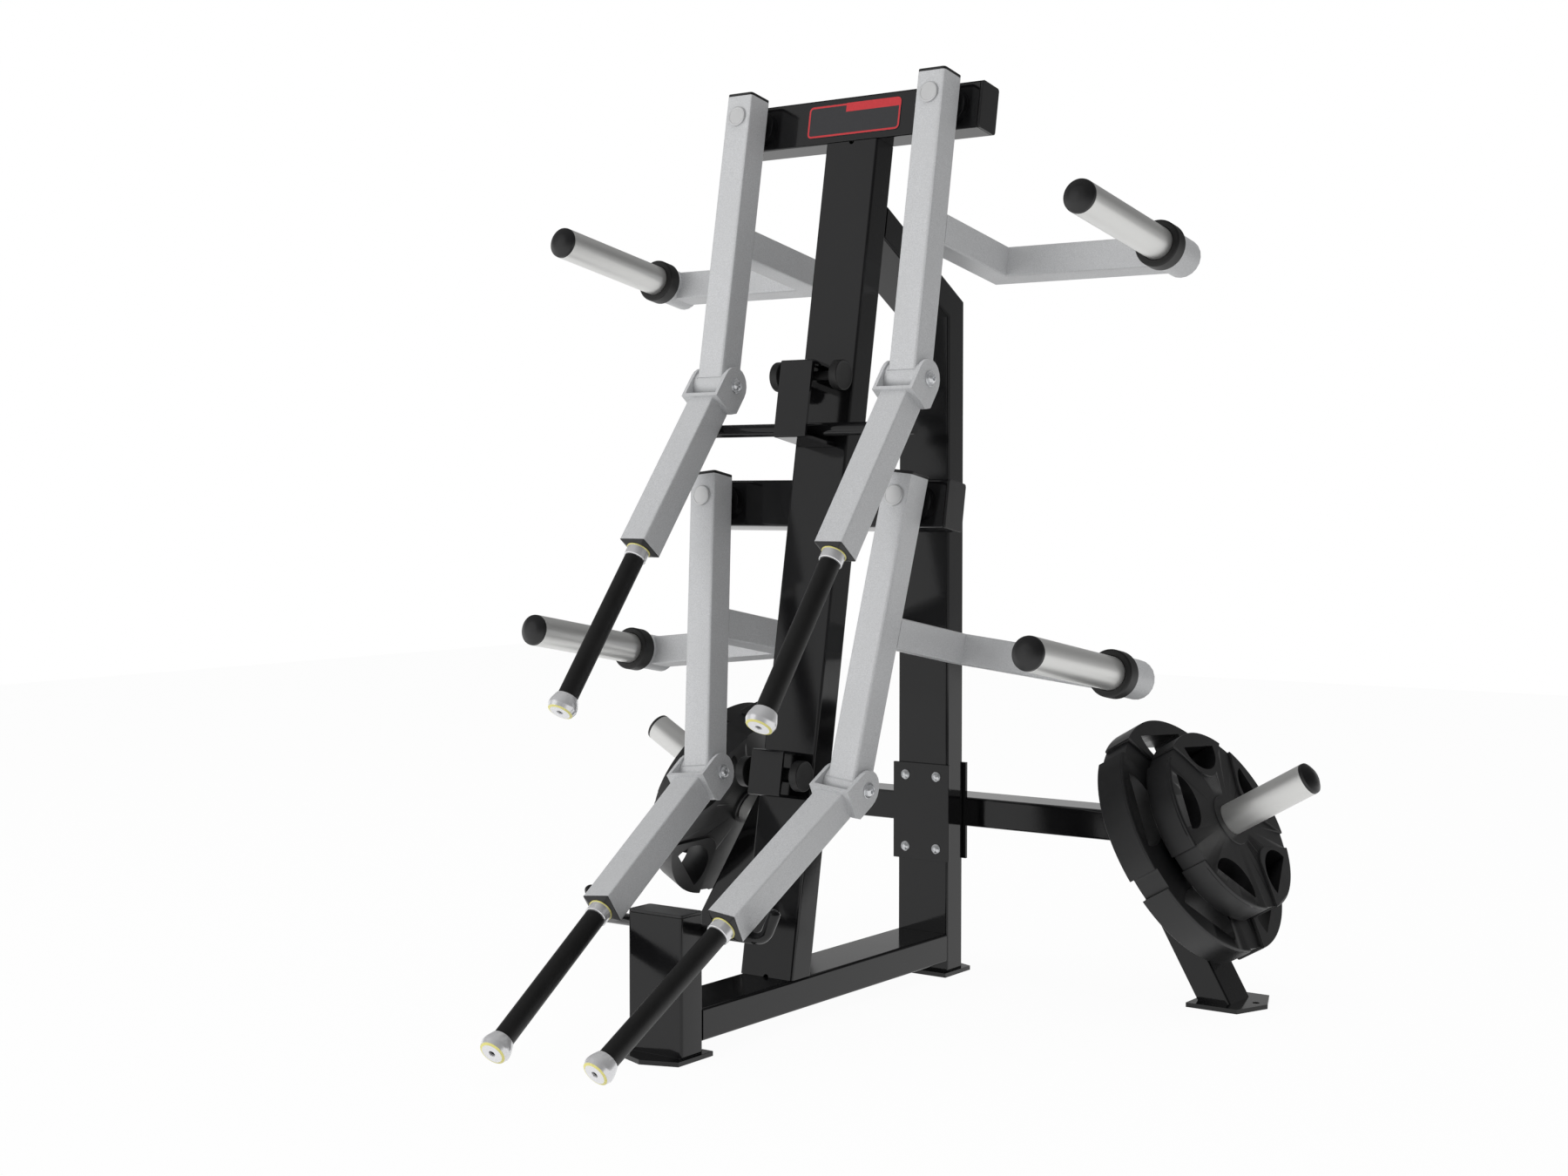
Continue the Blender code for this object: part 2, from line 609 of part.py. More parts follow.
def pin_hole(level, name, side):
    place = (side * PIVOT_X, pivot_height(level))
    return rod(f"pin_hole_{level}_{name}", PIN_R + GAP, (place[0], -0.1, place[1]), (place[0], 0.2, place[1]),
               ALONG_Y, BLACK_PAINT, LEANING, 16)


def build_upper_crossbeam():
    half = BEAM_HALF - CAP_T - GAP
    low, high = UPPER_BEAM_U, UPPER_BEAM_U + BEAM_H
    beam = block("upper_crossbeam", (-half, 0, low), (half, MAIN_D, high), BLACK_PAINT, LEANING, CORNER_R, 0)
    cut_out(beam, block("upper_crossbeam_bore", (-1, MAIN_WALL, low + MAIN_WALL),
                        (1, MAIN_D - MAIN_WALL, high - MAIN_WALL), BLACK_PAINT, LEANING))
    for name, side in SIDES:
        weld_on(beam, flange("upper", name, side))
        cut_out(beam, pin_hole("upper", name, side))


def build_pins_and_caps():
    for level in LEVELS:
        setback = beam_setback(level)
        middle = (0, setback + MAIN_D / 2, pivot_height(level))
        for name, side in SIDES:
            square_cap(f"{level}_{name}_beam_cap", (MAIN_D / 2, BEAM_H / 2), middle, 0,
                       side * (BEAM_HALF - CAP_T - GAP), BLACK_PLASTIC, LEANING, MAIN_WALL)
            front = PIVOT_GAP + ARM_W
            profile = [(0, front + PIN_CAP_T), (PIN_CAP_R - EDGE, front + PIN_CAP_T),
                       (PIN_CAP_R, front + PIN_CAP_T - EDGE), (PIN_CAP_R, front + GAP),
                       (PIN_R, front + GAP), (PIN_R, -MAIN_D), (0, -MAIN_D)]
            turned(f"{level}_{name}_pivot_pin", profile, BRIGHT_STEEL, LEANING,
                   (side * PIVOT_X, setback, pivot_height(level)), (math.radians(90), 0, 0), 16)


# Stops and bumpers

def lug(name, stand_off, height, half_height):
    return block(name, (-LUG_W / 2, -stand_off, height - half_height), (LUG_W / 2, WELD, height + half_height),
                 BLACK_PAINT, LEANING)


def add_stop(upright, level, start, stop, bumper):
    """A channel that stands off the upright, with a lug inside for the bumpers' axle."""
    below, above, reach = stop
    elbow = elbow_height(level)
    low, high = start - below, elbow + above
    channel = block(f"{level}_stop", (-STOP_W / 2, -reach, low), (STOP_W / 2, WELD, high), BLACK_PAINT, LEANING,
                    STOP_CORNER_R, 0)
    cut_out(channel, block(f"{level}_stop_inside", (-STOP_W, -reach + STOP_T, low + STOP_T),
                           (STOP_W, MAIN_D, high - STOP_T), BLACK_PAINT, LEANING))
    rise, stand_off, outer_face = bumper
    height = elbow + rise
    around = AXLE_R + LUG_MARGIN
    weld_on(upright, channel, lug(f"{level}_axle_lug", stand_off + around, height, around))
    cut_out(upright, rod(f"{level}_axle_hole", AXLE_R + GAP, (-STOP_W, -stand_off, height),
                         (STOP_W, -stand_off, height), ALONG_X, BLACK_PAINT, LEANING, 16))
    disc = [(0, outer_face), (BUMPER_R - EDGE, outer_face), (BUMPER_R, outer_face - EDGE),
            (BUMPER_R, outer_face - BUMPER_T + EDGE), (BUMPER_R - EDGE, outer_face - BUMPER_T),
            (AXLE_R, outer_face - BUMPER_T)]
    profile = disc + [(radius, -distance) for radius, distance in reversed(disc)]
    turned(f"{level}_stop_bumper", profile, BLACK_RUBBER, LEANING, (0, -stand_off, height),
           (0, math.radians(90), 0), 16)


# Rear clamp, stabiliser and legs

def bolt_places():
    return [(sx * BOLT_X, CLAMP_MID_Z + sz * BOLT_Z) for sx in (-1, 1) for sz in (-1, 1)]


def clamp_outline():
    return [(-CLAMP_W / 2, CLAMP_MID_Z - CLAMP_H / 2), (CLAMP_W / 2, CLAMP_MID_Z - CLAMP_H / 2),
            (CLAMP_W / 2, CLAMP_MID_Z + CLAMP_H / 2), (-CLAMP_W / 2, CLAMP_MID_Z + CLAMP_H / 2)]


def upright_plate(name, y, material, holes=()):
    """A plate in the XZ plane whose front face is at y."""
    stand = Matrix.Translation((0, y + CLAMP_T, 0)) @ Matrix.Rotation(math.pi / 2, 4, "X")
    return flat_plate(name, clamp_outline(), CLAMP_T, material, holes=holes, matrix=stand)


def build_clamp():
    """The front clamp plate with its four bolts, whose nuts lie behind the rear clamp plate."""
    face = REAR_FACE_Y - GAP - CLAMP_T
    plate = upright_plate("clamp_plate", face, BLACK_PAINT)
    nut_face = CLAMP_T + MAIN_D + 2 * GAP + CLAMP_T + GAP
    for x, z in bolt_places():
        profile = [(0, BOLT_HEAD_T), (BOLT_HEAD_R * 0.7, BOLT_HEAD_T * 0.75), (BOLT_HEAD_R, -WELD),
                   (BOLT_R, -WELD), (BOLT_R, -nut_face), (NUT_R, -nut_face), (NUT_R, -nut_face - NUT_T),
                   (0, -nut_face - NUT_T)]
        weld_on(plate, turned(f"bolt_{x}_{z}", profile, BRIGHT_STEEL, None, (x, face, z),
                              (math.radians(90), 0, 0), 12))


def build_stabiliser():
    """Cross tube and splayed legs in one run, with feet and the rear clamp plate."""
    tilt = math.radians(LEG_TILT)
    middle_foot_x = LEG_FOOT_X - REAR_H / 2 / math.cos(tilt)
    corner_x = middle_foot_x - math.tan(tilt) * (STABILISER_MID_Z - FOOT_T)

    def run_path(bottom):
        foot_x = middle_foot_x - math.tan(tilt) * (bottom - FOOT_T)
        right = [(corner_x, STABILISER_Y, STABILISER_MID_Z), (foot_x, STABILISER_Y, bottom)]
        return [(-x, y, z) for x, y, z in reversed(right)] + right

    down = (Vector((0, 0, -1)), Vector((0, 0, -1)))
    tube = tube_run("rear_stabiliser", run_path(FOOT_T - WELD), (0, 1, 0), (REAR_D, REAR_H), BLACK_PAINT,
                    None, CORNER_R, down)
    cut_out(tube, tube_run("rear_stabiliser_bore", run_path(FOOT_T + WELD), (0, 1, 0),
                           (REAR_D - 2 * MAIN_WALL, REAR_H - 2 * MAIN_WALL), BLACK_PAINT, ends=down))
    cut_out(tube, rod("stabiliser_vent", VENT_R, (0, STABILISER_Y, STABILISER_MID_Z - REAR_H),
                      (0, STABILISER_Y, STABILISER_MID_Z), ALONG_Z, BLACK_PAINT, segments=12))
    near, far = STABILISER_Y - REAR_D / 2 - LEG_FOOT_SIDE, STABILISER_Y + REAR_D / 2 + LEG_FOOT_SIDE
    inner = LEG_FOOT_X - REAR_H / math.cos(tilt) - LEG_FOOT_INNER
    outer = LEG_FOOT_X + LEG_FOOT_OUTER
    for name, side in SIDES:
        outline = [(side * inner, near), (side * outer, near), (side * (LEG_FOOT_X + LEG_FOOT_POINT), STABILISER_Y),
                   (side * outer, far), (side * inner, far)]
        hole = circle(side * (LEG_FOOT_X + FLOOR_BOLT_OUT), STABILISER_Y, FLOOR_BOLT_R)
        weld_on(tube, flat_plate(f"{name}_foot", outline, FOOT_T, BLACK_PAINT, holes=[hole]))
    holes = [circle(x, z, BOLT_R + GAP) for x, z in bolt_places()]
    weld_on(tube, upright_plate("rear_clamp_plate", REAR_PLATE_Y, BLACK_PAINT, holes))


# Storage horns and the spare plates

def horn_frame(side):
    """Place and turn that carry +Z out along a horn."""
    tilt = math.radians(LEG_TILT)
    root_x = LEG_FOOT_X - HORN_RISE * math.tan(tilt)
    return Vector((side * root_x, STABILISER_Y, FOOT_T + HORN_RISE)), (0, side * (math.pi / 2 - tilt), 0)


def dome(end):
    """Outer profile of a domed cap from its tip down to the sleeve's end."""
    return [(0, end + SLEEVE_CAP_T), (SLEEVE_R * 0.6, end + SLEEVE_CAP_T * 0.83),
            (SLEEVE_R - EDGE / 2, end + SLEEVE_CAP_EDGE)]


def build_horns():
    for name, side in SIDES:
        place, turn = horn_frame(side)
        bore = SLEEVE_R - SLEEVE_WALL
        profile = dome(HORN_L) + [(SLEEVE_R, HORN_L), (SLEEVE_R, HORN_COLLAR_L), (COLLAR_R - EDGE, HORN_COLLAR_L),
                                  (COLLAR_R, HORN_COLLAR_L - EDGE), (COLLAR_R, GAP), (bore, GAP),
                                  (bore, HORN_L), (0, HORN_L)]
        turned(f"{name}_storage_horn", profile, BRIGHT_STEEL, None, place, turn, 20)


def surround_outline(radius, end_distance, end_radius):
    """Outline of a surround: an arc of the rim and two straight sides that run to a round end."""
    half = SURROUND_SPAN / 2
    across = radius * math.sin(math.radians(half))
    along = radius * math.cos(math.radians(half)) - end_distance
    tangent = math.degrees(math.atan2(along, across) - math.acos(end_radius / math.hypot(across, along)))
    rim = arc((0, 0), radius, 90 - half, 90 + half, 6)
    return rim + arc((0, end_distance), end_radius, 180 - tangent, 360 + tangent, 10)


def build_plate(name, side, size, grip, inner_face):
    """A grip plate: a thick disc with a hub, D-shaped grip openings and a raised surround at each."""
    radius, thickness, hub_in, hub_out, proud = size
    grip_half, grip_depth, grip_edge, end_distance, end_radius = grip
    bore, face, rim = SLEEVE_R + PLATE_PLAY, thickness - proud, radius - proud
    edge = rim - PLATE_CHAMFER
    outer = [(bore, thickness + hub_out), (PLATE_HUB_R, thickness + hub_out), (PLATE_HUB_R, face), (edge, face),
             (rim, face - PLATE_CHAMFER)]
    inner = [(rim, proud + PLATE_CHAMFER), (edge, proud), (PLATE_HUB_R, proud), (PLATE_HUB_R, -hub_in),
             (bore, -hub_in)]
    place, turn = horn_frame(side)
    direction = Matrix.Rotation(turn[1], 3, "Y") @ Vector((0, 0, 1))
    plate = turned(name, outer + inner + outer[:1], PLATE_RUBBER, None, place + direction * inner_face, turn, 30)
    surround = surround_outline(radius, end_distance, end_radius)
    opening = [(x * grip_half, y * grip_depth) for x, y, z in arc((0, 0), 1, 180, 360, 10)]
    for i in range(GRIPS):
        around = math.radians(FIRST_GRIP + i * 360 / GRIPS)
        angle = math.pi / 2 + side * (math.pi / 2 - around)
        raised = flat_plate(f"{name}_surround_{i}", surround, thickness - SURROUND_INSET, PLATE_RUBBER, plate)
        raised.location = (0, 0, SURROUND_INSET if i < RAISED_OUTSIDE else 0)
        raised.rotation_euler = (0, 0, angle - math.pi / 2)
        weld_on(plate, raised)
    for i in range(GRIPS):
        around = math.radians(FIRST_GRIP + i * 360 / GRIPS)
        angle = math.pi / 2 + side * (math.pi / 2 - around)
        hole = flat_plate(f"{name}_grip_{i}", opening, 2 * thickness, PLATE_RUBBER, plate)
        hole.location = (grip_edge * math.cos(angle), grip_edge * math.sin(angle), -thickness / 2)
        hole.rotation_euler = (0, 0, angle - math.pi / 2)
        cut_out(plate, hole)


def build_plates():
    """On each horn the big plate's hub lies on the collar, and the small plate's hub on the big one's."""
    big_face = HORN_COLLAR_L + GAP + BIG_PLATE[2]
    small_face = big_face + BIG_PLATE[1] + BIG_PLATE[3] + GAP + SMALL_PLATE[2]
    for name, side in SIDES:
        build_plate(f"{name}_big_plate", side, BIG_PLATE, BIG_GRIP, big_face)
        build_plate(f"{name}_small_plate", side, SMALL_PLATE, SMALL_GRIP, small_face)


# Arms

def build_arm(level, name, side):
    """One swinging arm, in a frame at its pivot: Y to the rear, Z up along the arm."""
    tag = f"{level}_{name}"
    pivot = empty(f"{tag}_arm_pivot", LEANING, (side * PIVOT_X, -arm_middle(level), pivot_height(level)),
                  (0, side * arm_splay(level), 0))
    half = ARM_W / 2
    bore = half - ARM_WALL
    top = ARM_HEAD - CAP_T - GAP
    knuckle_top = KNUCKLE_R - ARM_L
    arm = block(f"{tag}_arm", (-half, -half, -ARM_L), (half, half, top), SILVER_PAINT, pivot, CORNER_R)
    cut_out(arm, block(f"{tag}_arm_bore", (-bore, -bore, knuckle_top + WELD), (bore, bore, top + 1),
                       SILVER_PAINT, pivot))
    bush = PIN_R + BUSH_WALL
    weld_on(arm, rod(f"{tag}_bush", bush, (0, -half + WELD, 0), (0, half - WELD, 0), ALONG_Y, SILVER_PAINT,
                     pivot, 16))
    weld_on(arm, rod(f"{tag}_knuckle", KNUCKLE_R, (-KNUCKLE_HALF, 0, -ARM_L), (KNUCKLE_HALF, 0, -ARM_L),
                     ALONG_X, SILVER_PAINT, pivot, 20))
    add_bracket(arm, tag, side, pivot)
    cut_out(arm, rod(f"{tag}_pin_hole", PIN_R + GAP, (0, -0.1, 0), (0, 0.1, 0), ALONG_Y, SILVER_PAINT, pivot, 16))
    cut_out(arm, rod(f"{tag}_elbow_hole", ELBOW_PIN_R + GAP, (-0.1, 0, -ARM_L), (0.1, 0, -ARM_L), ALONG_X,
                     SILVER_PAINT, pivot, 16))
    square_cap(f"{tag}_arm_cap", (half, half), (0, 0, 0), 2, top, BLACK_PLASTIC, pivot, ARM_WALL)
    build_sleeve(tag, side, pivot)
    return pivot


def add_bracket(arm, tag, side, pivot):
    """Square tube that runs back from the arm, turns a mitred corner and runs out to a stub."""
    half = ARM_W / 2
    width = ARM_W - 2 * GAP
    inside = width - 2 * ARM_WALL
    z = -BRACKET_DROP
    path = [(0, half - WELD, z), (0, BRACKET_BACK, z), (side * SLEEVE_OUT, BRACKET_BACK, z)]
    bore = [(0, 0, z), (0, BRACKET_BACK, z), (side * (SLEEVE_OUT - SLEEVE_R - ARM_WALL), BRACKET_BACK, z)]
    stub_front = COLLAR_MID + COLLAR_L / 2 + GAP
    stub_back = BRACKET_BACK + half + STUB_PROUD
    weld_on(arm, tube_run(f"{tag}_bracket", path, (0, 0, 1), (width, width), SILVER_PAINT, pivot, CORNER_R),
            rod(f"{tag}_stub", STUB_R, (side * SLEEVE_OUT, stub_front, z), (side * SLEEVE_OUT, stub_back, z),
                ALONG_Y, SILVER_PAINT, pivot, 20))
    cut_out(arm, tube_run(f"{tag}_bracket_bore", bore, (0, 0, 1), (inside, inside), SILVER_PAINT, pivot))
    cut_out(arm, rod(f"{tag}_stub_hole", SLEEVE_R + GAP, (side * SLEEVE_OUT, 0, z),
                     (side * SLEEVE_OUT, 2 * BRACKET_BACK, z), ALONG_Y, SILVER_PAINT, pivot, 20))


def build_sleeve(tag, side, pivot):
    """Loading sleeve with its rubber collar and domed cap; the sleeve's open end faces forward."""
    turn = (math.radians(90), 0, 0)
    place = (side * SLEEVE_OUT, 0, -BRACKET_DROP)
    start = -(BRACKET_BACK + ARM_W / 2)
    bore = SLEEVE_R - SLEEVE_WALL
    tube = [(bore, SLEEVE_REACH), (SLEEVE_R, SLEEVE_REACH), (SLEEVE_R, start), (bore, start), (bore, SLEEVE_REACH)]
    turned(f"{tag}_load_sleeve", tube, BRIGHT_STEEL, pivot, place, turn, 20)
    low, high = -COLLAR_MID - COLLAR_L / 2, -COLLAR_MID + COLLAR_L / 2
    inside, edge = SLEEVE_R + GAP, 2 * EDGE
    ring = [(inside, high), (COLLAR_R - edge, high), (COLLAR_R, high - edge), (COLLAR_R, low), (inside, low),
            (inside, high)]
    turned(f"{tag}_sleeve_collar", ring, BLACK_RUBBER, pivot, place, turn, 20)
    plug = bore - GAP
    cap = dome(SLEEVE_REACH) + [(SLEEVE_R, SLEEVE_REACH + GAP), (plug, SLEEVE_REACH + GAP),
                                (plug, SLEEVE_REACH - PLUG_DEPTH), (0, SLEEVE_REACH - PLUG_DEPTH)]
    turned(f"{tag}_sleeve_cap", cap, BLACK_PLASTIC, pivot, place, turn, 20)


# Forearms

def build_forearm(level, name, side, pivot):
    """One folding forearm, in a frame at its elbow pin whose -Z runs down the forearm."""
    tag = f"{level}_{name}"
    elbow = empty(f"{tag}_elbow", pivot, (0, 0, -ARM_L), (-elbow_flex(level), 0, 0))
    outline = arc((0, 0), YOKE_R, 0, 180, 10) + [(-YOKE_R, -YOKE_REACH), (YOKE_R - YOKE_CHAMFER, -YOKE_REACH),
                                                 (YOKE_R, -YOKE_REACH + YOKE_CHAMFER)]
    # The outline lies rearward and up; it is turned to stand across the machine.
    stand = Matrix(((0, 0, 1, -YOKE_HALF), (1, 0, 0, 0), (0, 1, 0, 0), (0, 0, 0, 1)))
    forearm = flat_plate(f"{tag}_forearm", outline, 2 * YOKE_HALF, SILVER_PAINT, elbow, matrix=stand)
    slot = YOKE_HALF - YOKE_T
    cut_out(forearm, block(f"{tag}_yoke_slot", (-slot, -2 * YOKE_R, YOKE_T - YOKE_REACH),
                           (slot, 2 * YOKE_R, 2 * YOKE_R), SILVER_PAINT, elbow))
    half = ARM_W / 2
    bore = half - ARM_WALL
    end = FOREARM_END - CAP_T - GAP
    weld_on(forearm, block(f"{tag}_forearm_tube", (-half, -half, -end), (half, half, WELD - YOKE_REACH),
                           SILVER_PAINT, elbow, CORNER_R))
    cut_out(forearm, block(f"{tag}_forearm_bore", (-bore, -bore, -end - 0.1), (bore, bore, -YOKE_REACH - WELD),
                           SILVER_PAINT, elbow))
    cut_out(forearm, rod(f"{tag}_yoke_hole", ELBOW_PIN_R + GAP, (-0.1, 0, 0), (0.1, 0, 0), ALONG_X, SILVER_PAINT,
                         elbow, 16))
    build_elbow_bolt(tag, elbow)
    build_handle(tag, elbow, half, end)


def build_handle(tag, elbow, half, end):
    """The bar with its square plug, ferrule and end knob, and the rubber grip around it."""
    grip_start = FOREARM_END + FERRULE_L
    knob = KNOB_END - KNOB_L
    profile = [(0, WELD - FOREARM_END), (FERRULE_R, WELD - FOREARM_END), (FERRULE_R, -grip_start),
               (CORE_R, -grip_start), (CORE_R, -knob), (KNOB_NECK_R, -knob), (KNOB_R, -knob - KNOB_TAPER),
               (KNOB_R, KNOB_EDGE - KNOB_END), (KNOB_R - KNOB_EDGE, -KNOB_END), (0, -KNOB_END)]
    bar = square_cap(f"{tag}_handle_bar", (half, half), (0, 0, 0), 2, -end, ALUMINIUM, elbow, ARM_WALL)
    weld_on(bar, turned(f"{tag}_handle_core", profile, ALUMINIUM, elbow, segments=16))
    sleeve = [(CORE_R + GAP, -grip_start - GAP), (GRIP_R, -grip_start - GAP), (GRIP_R, GAP - knob),
              (CORE_R + GAP, GAP - knob), (CORE_R + GAP, -grip_start - GAP)]
    turned(f"{tag}_hand_grip", sleeve, BLACK_RUBBER, elbow, segments=16)


def build_elbow_bolt(tag, elbow):
    shank = YOKE_HALF + GAP
    washer = shank + ELBOW_WASHER_T
    end = [(0, washer + ELBOW_HEAD_T), (ELBOW_HEAD_R * 0.65, washer + ELBOW_HEAD_T * 0.75),
           (ELBOW_HEAD_R, washer), (ELBOW_WASHER_R, washer), (ELBOW_WASHER_R, shank), (ELBOW_PIN_R, shank)]
    profile = end + [(radius, -distance) for radius, distance in reversed(end)]
    turned(f"{tag}_elbow_bolt", profile, BRIGHT_STEEL, elbow, rotation=(0, math.radians(90), 0), segments=12)


build_base_beam()
build_front_post()
build_rear_post()
build_upright()
build_upper_crossbeam()
build_pins_and_caps()
build_clamp()
build_stabiliser()
build_horns()
build_plates()
for level in LEVELS:
    for name, side in SIDES:
        build_forearm(level, name, side, build_arm(level, name, side))
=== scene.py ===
import json
import math

import bpy
from mathutils import Matrix, Vector

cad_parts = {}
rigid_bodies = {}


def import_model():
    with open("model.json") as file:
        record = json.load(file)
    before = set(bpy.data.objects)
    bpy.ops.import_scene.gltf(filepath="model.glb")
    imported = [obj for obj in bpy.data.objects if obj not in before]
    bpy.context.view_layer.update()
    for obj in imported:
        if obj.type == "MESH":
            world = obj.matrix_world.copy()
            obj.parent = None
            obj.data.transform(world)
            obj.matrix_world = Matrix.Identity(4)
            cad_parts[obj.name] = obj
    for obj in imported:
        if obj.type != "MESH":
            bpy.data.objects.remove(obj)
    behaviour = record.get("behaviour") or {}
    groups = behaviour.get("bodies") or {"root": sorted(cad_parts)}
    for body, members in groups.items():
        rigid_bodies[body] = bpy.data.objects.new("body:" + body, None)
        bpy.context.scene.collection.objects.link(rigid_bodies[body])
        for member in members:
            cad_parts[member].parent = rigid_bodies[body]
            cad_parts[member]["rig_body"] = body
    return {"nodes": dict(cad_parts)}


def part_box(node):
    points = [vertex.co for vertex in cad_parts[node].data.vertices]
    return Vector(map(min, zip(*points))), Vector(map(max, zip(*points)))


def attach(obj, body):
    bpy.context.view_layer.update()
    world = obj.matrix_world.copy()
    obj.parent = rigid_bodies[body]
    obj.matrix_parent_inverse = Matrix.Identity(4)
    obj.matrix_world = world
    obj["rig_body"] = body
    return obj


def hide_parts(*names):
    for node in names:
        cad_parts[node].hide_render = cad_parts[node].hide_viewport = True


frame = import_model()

bpy.ops.object.select_all(action="DESELECT")
for name in ("Cube", "Light", "Camera"):
    if name in bpy.data.objects:
        bpy.data.objects.remove(bpy.data.objects[name])
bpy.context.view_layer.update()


# Main frame: base beam, leaning upright with the lower crossbeam, upper crossbeam, rear post, and
# stabiliser with its splayed legs. Rectangular steel tube, cut, welded and bent, then coated in gloss
# black powder. The corners and cut edges are soft under the coat, so every edge catches a thin light.

def linear(hex_colour):
    """An sRGB hex colour as the linear RGBA that Blender works in."""
    parts = [int(hex_colour[i:i + 2], 16) / 255 for i in (1, 3, 5)]
    return [p / 12.92 if p <= 0.04045 else ((p + 0.055) / 1.055) ** 2.4 for p in parts] + [1.0]


def add_node(tree, kind, inputs, **settings):
    """Adds a node with its settings; an input is a number, a colour or another node's output."""
    node = tree.nodes.new(kind)
    for key, value in settings.items():
        setattr(node, key, value)
    for key, value in inputs.items():
        if isinstance(value, bpy.types.NodeSocket):
            tree.links.new(value, node.inputs[key])
        else:
            node.inputs[key].default_value = value
    return node


def new_material(name, **inputs):
    """A material whose Principled shader starts from these numbers."""
    material = bpy.data.materials.new(name)
    material.use_nodes = True
    shader = material.node_tree.nodes["Principled BSDF"]
    for key, value in inputs.items():
        shader.inputs[key.replace("_", " ")].default_value = value
    return material, material.node_tree, shader


def only(piece):
    """Selects one piece and nothing else."""
    bpy.ops.object.select_all(action="DESELECT")
    piece.select_set(True)
    bpy.context.view_layer.objects.active = piece


def shade_smooth(piece):
    """Shades curved faces smooth and keeps the large flat faces flat."""
    only(piece)
    bpy.ops.object.shade_smooth_by_angle(angle=math.radians(32))
    weighted = piece.modifiers.new("flat_faces", "WEIGHTED_NORMAL")
    weighted.mode = "FACE_AREA"
    weighted.weight = 100
    weighted.keep_sharp = True
    bpy.ops.object.modifier_apply(modifier="flat_faces")


def soften(piece, width, segments=2, angle=40):
    """Rounds the sharp edges."""
    only(piece)
    bevel = piece.modifiers.new("edges", "BEVEL")
    bevel.width = width
    bevel.segments = segments
    bevel.limit_method = "ANGLE"
    bevel.angle_limit = math.radians(angle)
    bpy.ops.object.modifier_apply(modifier="edges")
    shade_smooth(piece)


def dressed(node, material, width):
    """A copy of a CAD solid, merged into whole faces with soft edges, that stands for it."""
    source = frame["nodes"][node]
    piece = bpy.data.objects.new(f"{node}_finished", source.data.copy())
    bpy.context.scene.collection.objects.link(piece)
    only(piece)
    bpy.ops.mesh.customdata_custom_splitnormals_clear()
    bpy.ops.object.mode_set(mode="EDIT")
    bpy.ops.mesh.select_all(action="SELECT")
    bpy.ops.mesh.remove_doubles(threshold=0.00002)
    bpy.ops.mesh.dissolve_limited(angle_limit=math.radians(0.6))
    bpy.ops.object.mode_set(mode="OBJECT")
    piece.data.materials.clear()
    piece.data.materials.append(material)
    soften(piece, width)
    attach(piece, source["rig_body"])
    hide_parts(node)
    return piece


# Gloss powder coat: polyester, IOR 1.42, melted smooth. It mirrors what stands round it, with a faint
# orange peel of 2 mm, and dust dulls it in soft patches of 140 mm. A scale counts patterns in a metre,
# so 500 is the peel's.
gloss_black, tree, shader = new_material("gloss_black_powder_coat", IOR=1.42)
place = add_node(tree, "ShaderNodeTexCoord", {}).outputs["Object"]
peel = add_node(tree, "ShaderNodeTexNoise", {"Vector": place, "Scale": 500.0, "Detail": 1.0})
patches = add_node(tree, "ShaderNodeTexNoise", {"Vector": place, "Scale": 7.0, "Detail": 5.0, "Roughness": 0.6})
dull = add_node(tree, "ShaderNodeMapRange", {"Value": patches.outputs["Fac"], "From Min": 0.35, "From Max": 0.7,
                                             "To Min": 0.06, "To Max": 0.15})
tree.links.new(dull.outputs["Result"], shader.inputs["Roughness"])
shade = add_node(tree, "ShaderNodeMix", {0: patches.outputs["Fac"], 6: linear("#0d0d0e"), 7: linear("#161617")},
                 data_type="RGBA")
tree.links.new(shade.outputs[2], shader.inputs["Base Color"])
bump = add_node(tree, "ShaderNodeBump", {"Height": peel.outputs["Fac"], "Strength": 0.06, "Distance": 0.0004})
tree.links.new(bump.outputs["Normal"], shader.inputs["Normal"])

coated_edge = 0.0009
for node in ("base_beam", "upright", "upper_crossbeam", "rear_post", "rear_stabiliser"):
    dressed(node, gloss_black, coated_edge)


# Front post: a short length of the same tube on a foot plate. A rest bar of 20 mm rod runs through it,
# and its ends are bent up into hooks that keep the lower handles from sliding off sideways.

rest_bar_radius = 0.010
rest_bar = Vector((0, -0.3594, 0.20276))
bend_start, bend_radius, bend_angle = 0.155, 0.025, 65
hook_root, hook_straight = 0.004, 0.0275


def select_faces(piece, test):
    """Selects the faces whose centre and normal pass a test, and goes into edit mode."""
    only(piece)
    bpy.ops.object.mode_set(mode="EDIT")
    bpy.ops.mesh.select_mode(type="FACE")
    bpy.ops.mesh.select_all(action="DESELECT")
    bpy.ops.object.mode_set(mode="OBJECT")
    for face in piece.data.polygons:
        face.select = test(face.center, face.normal)
    bpy.ops.object.mode_set(mode="EDIT")


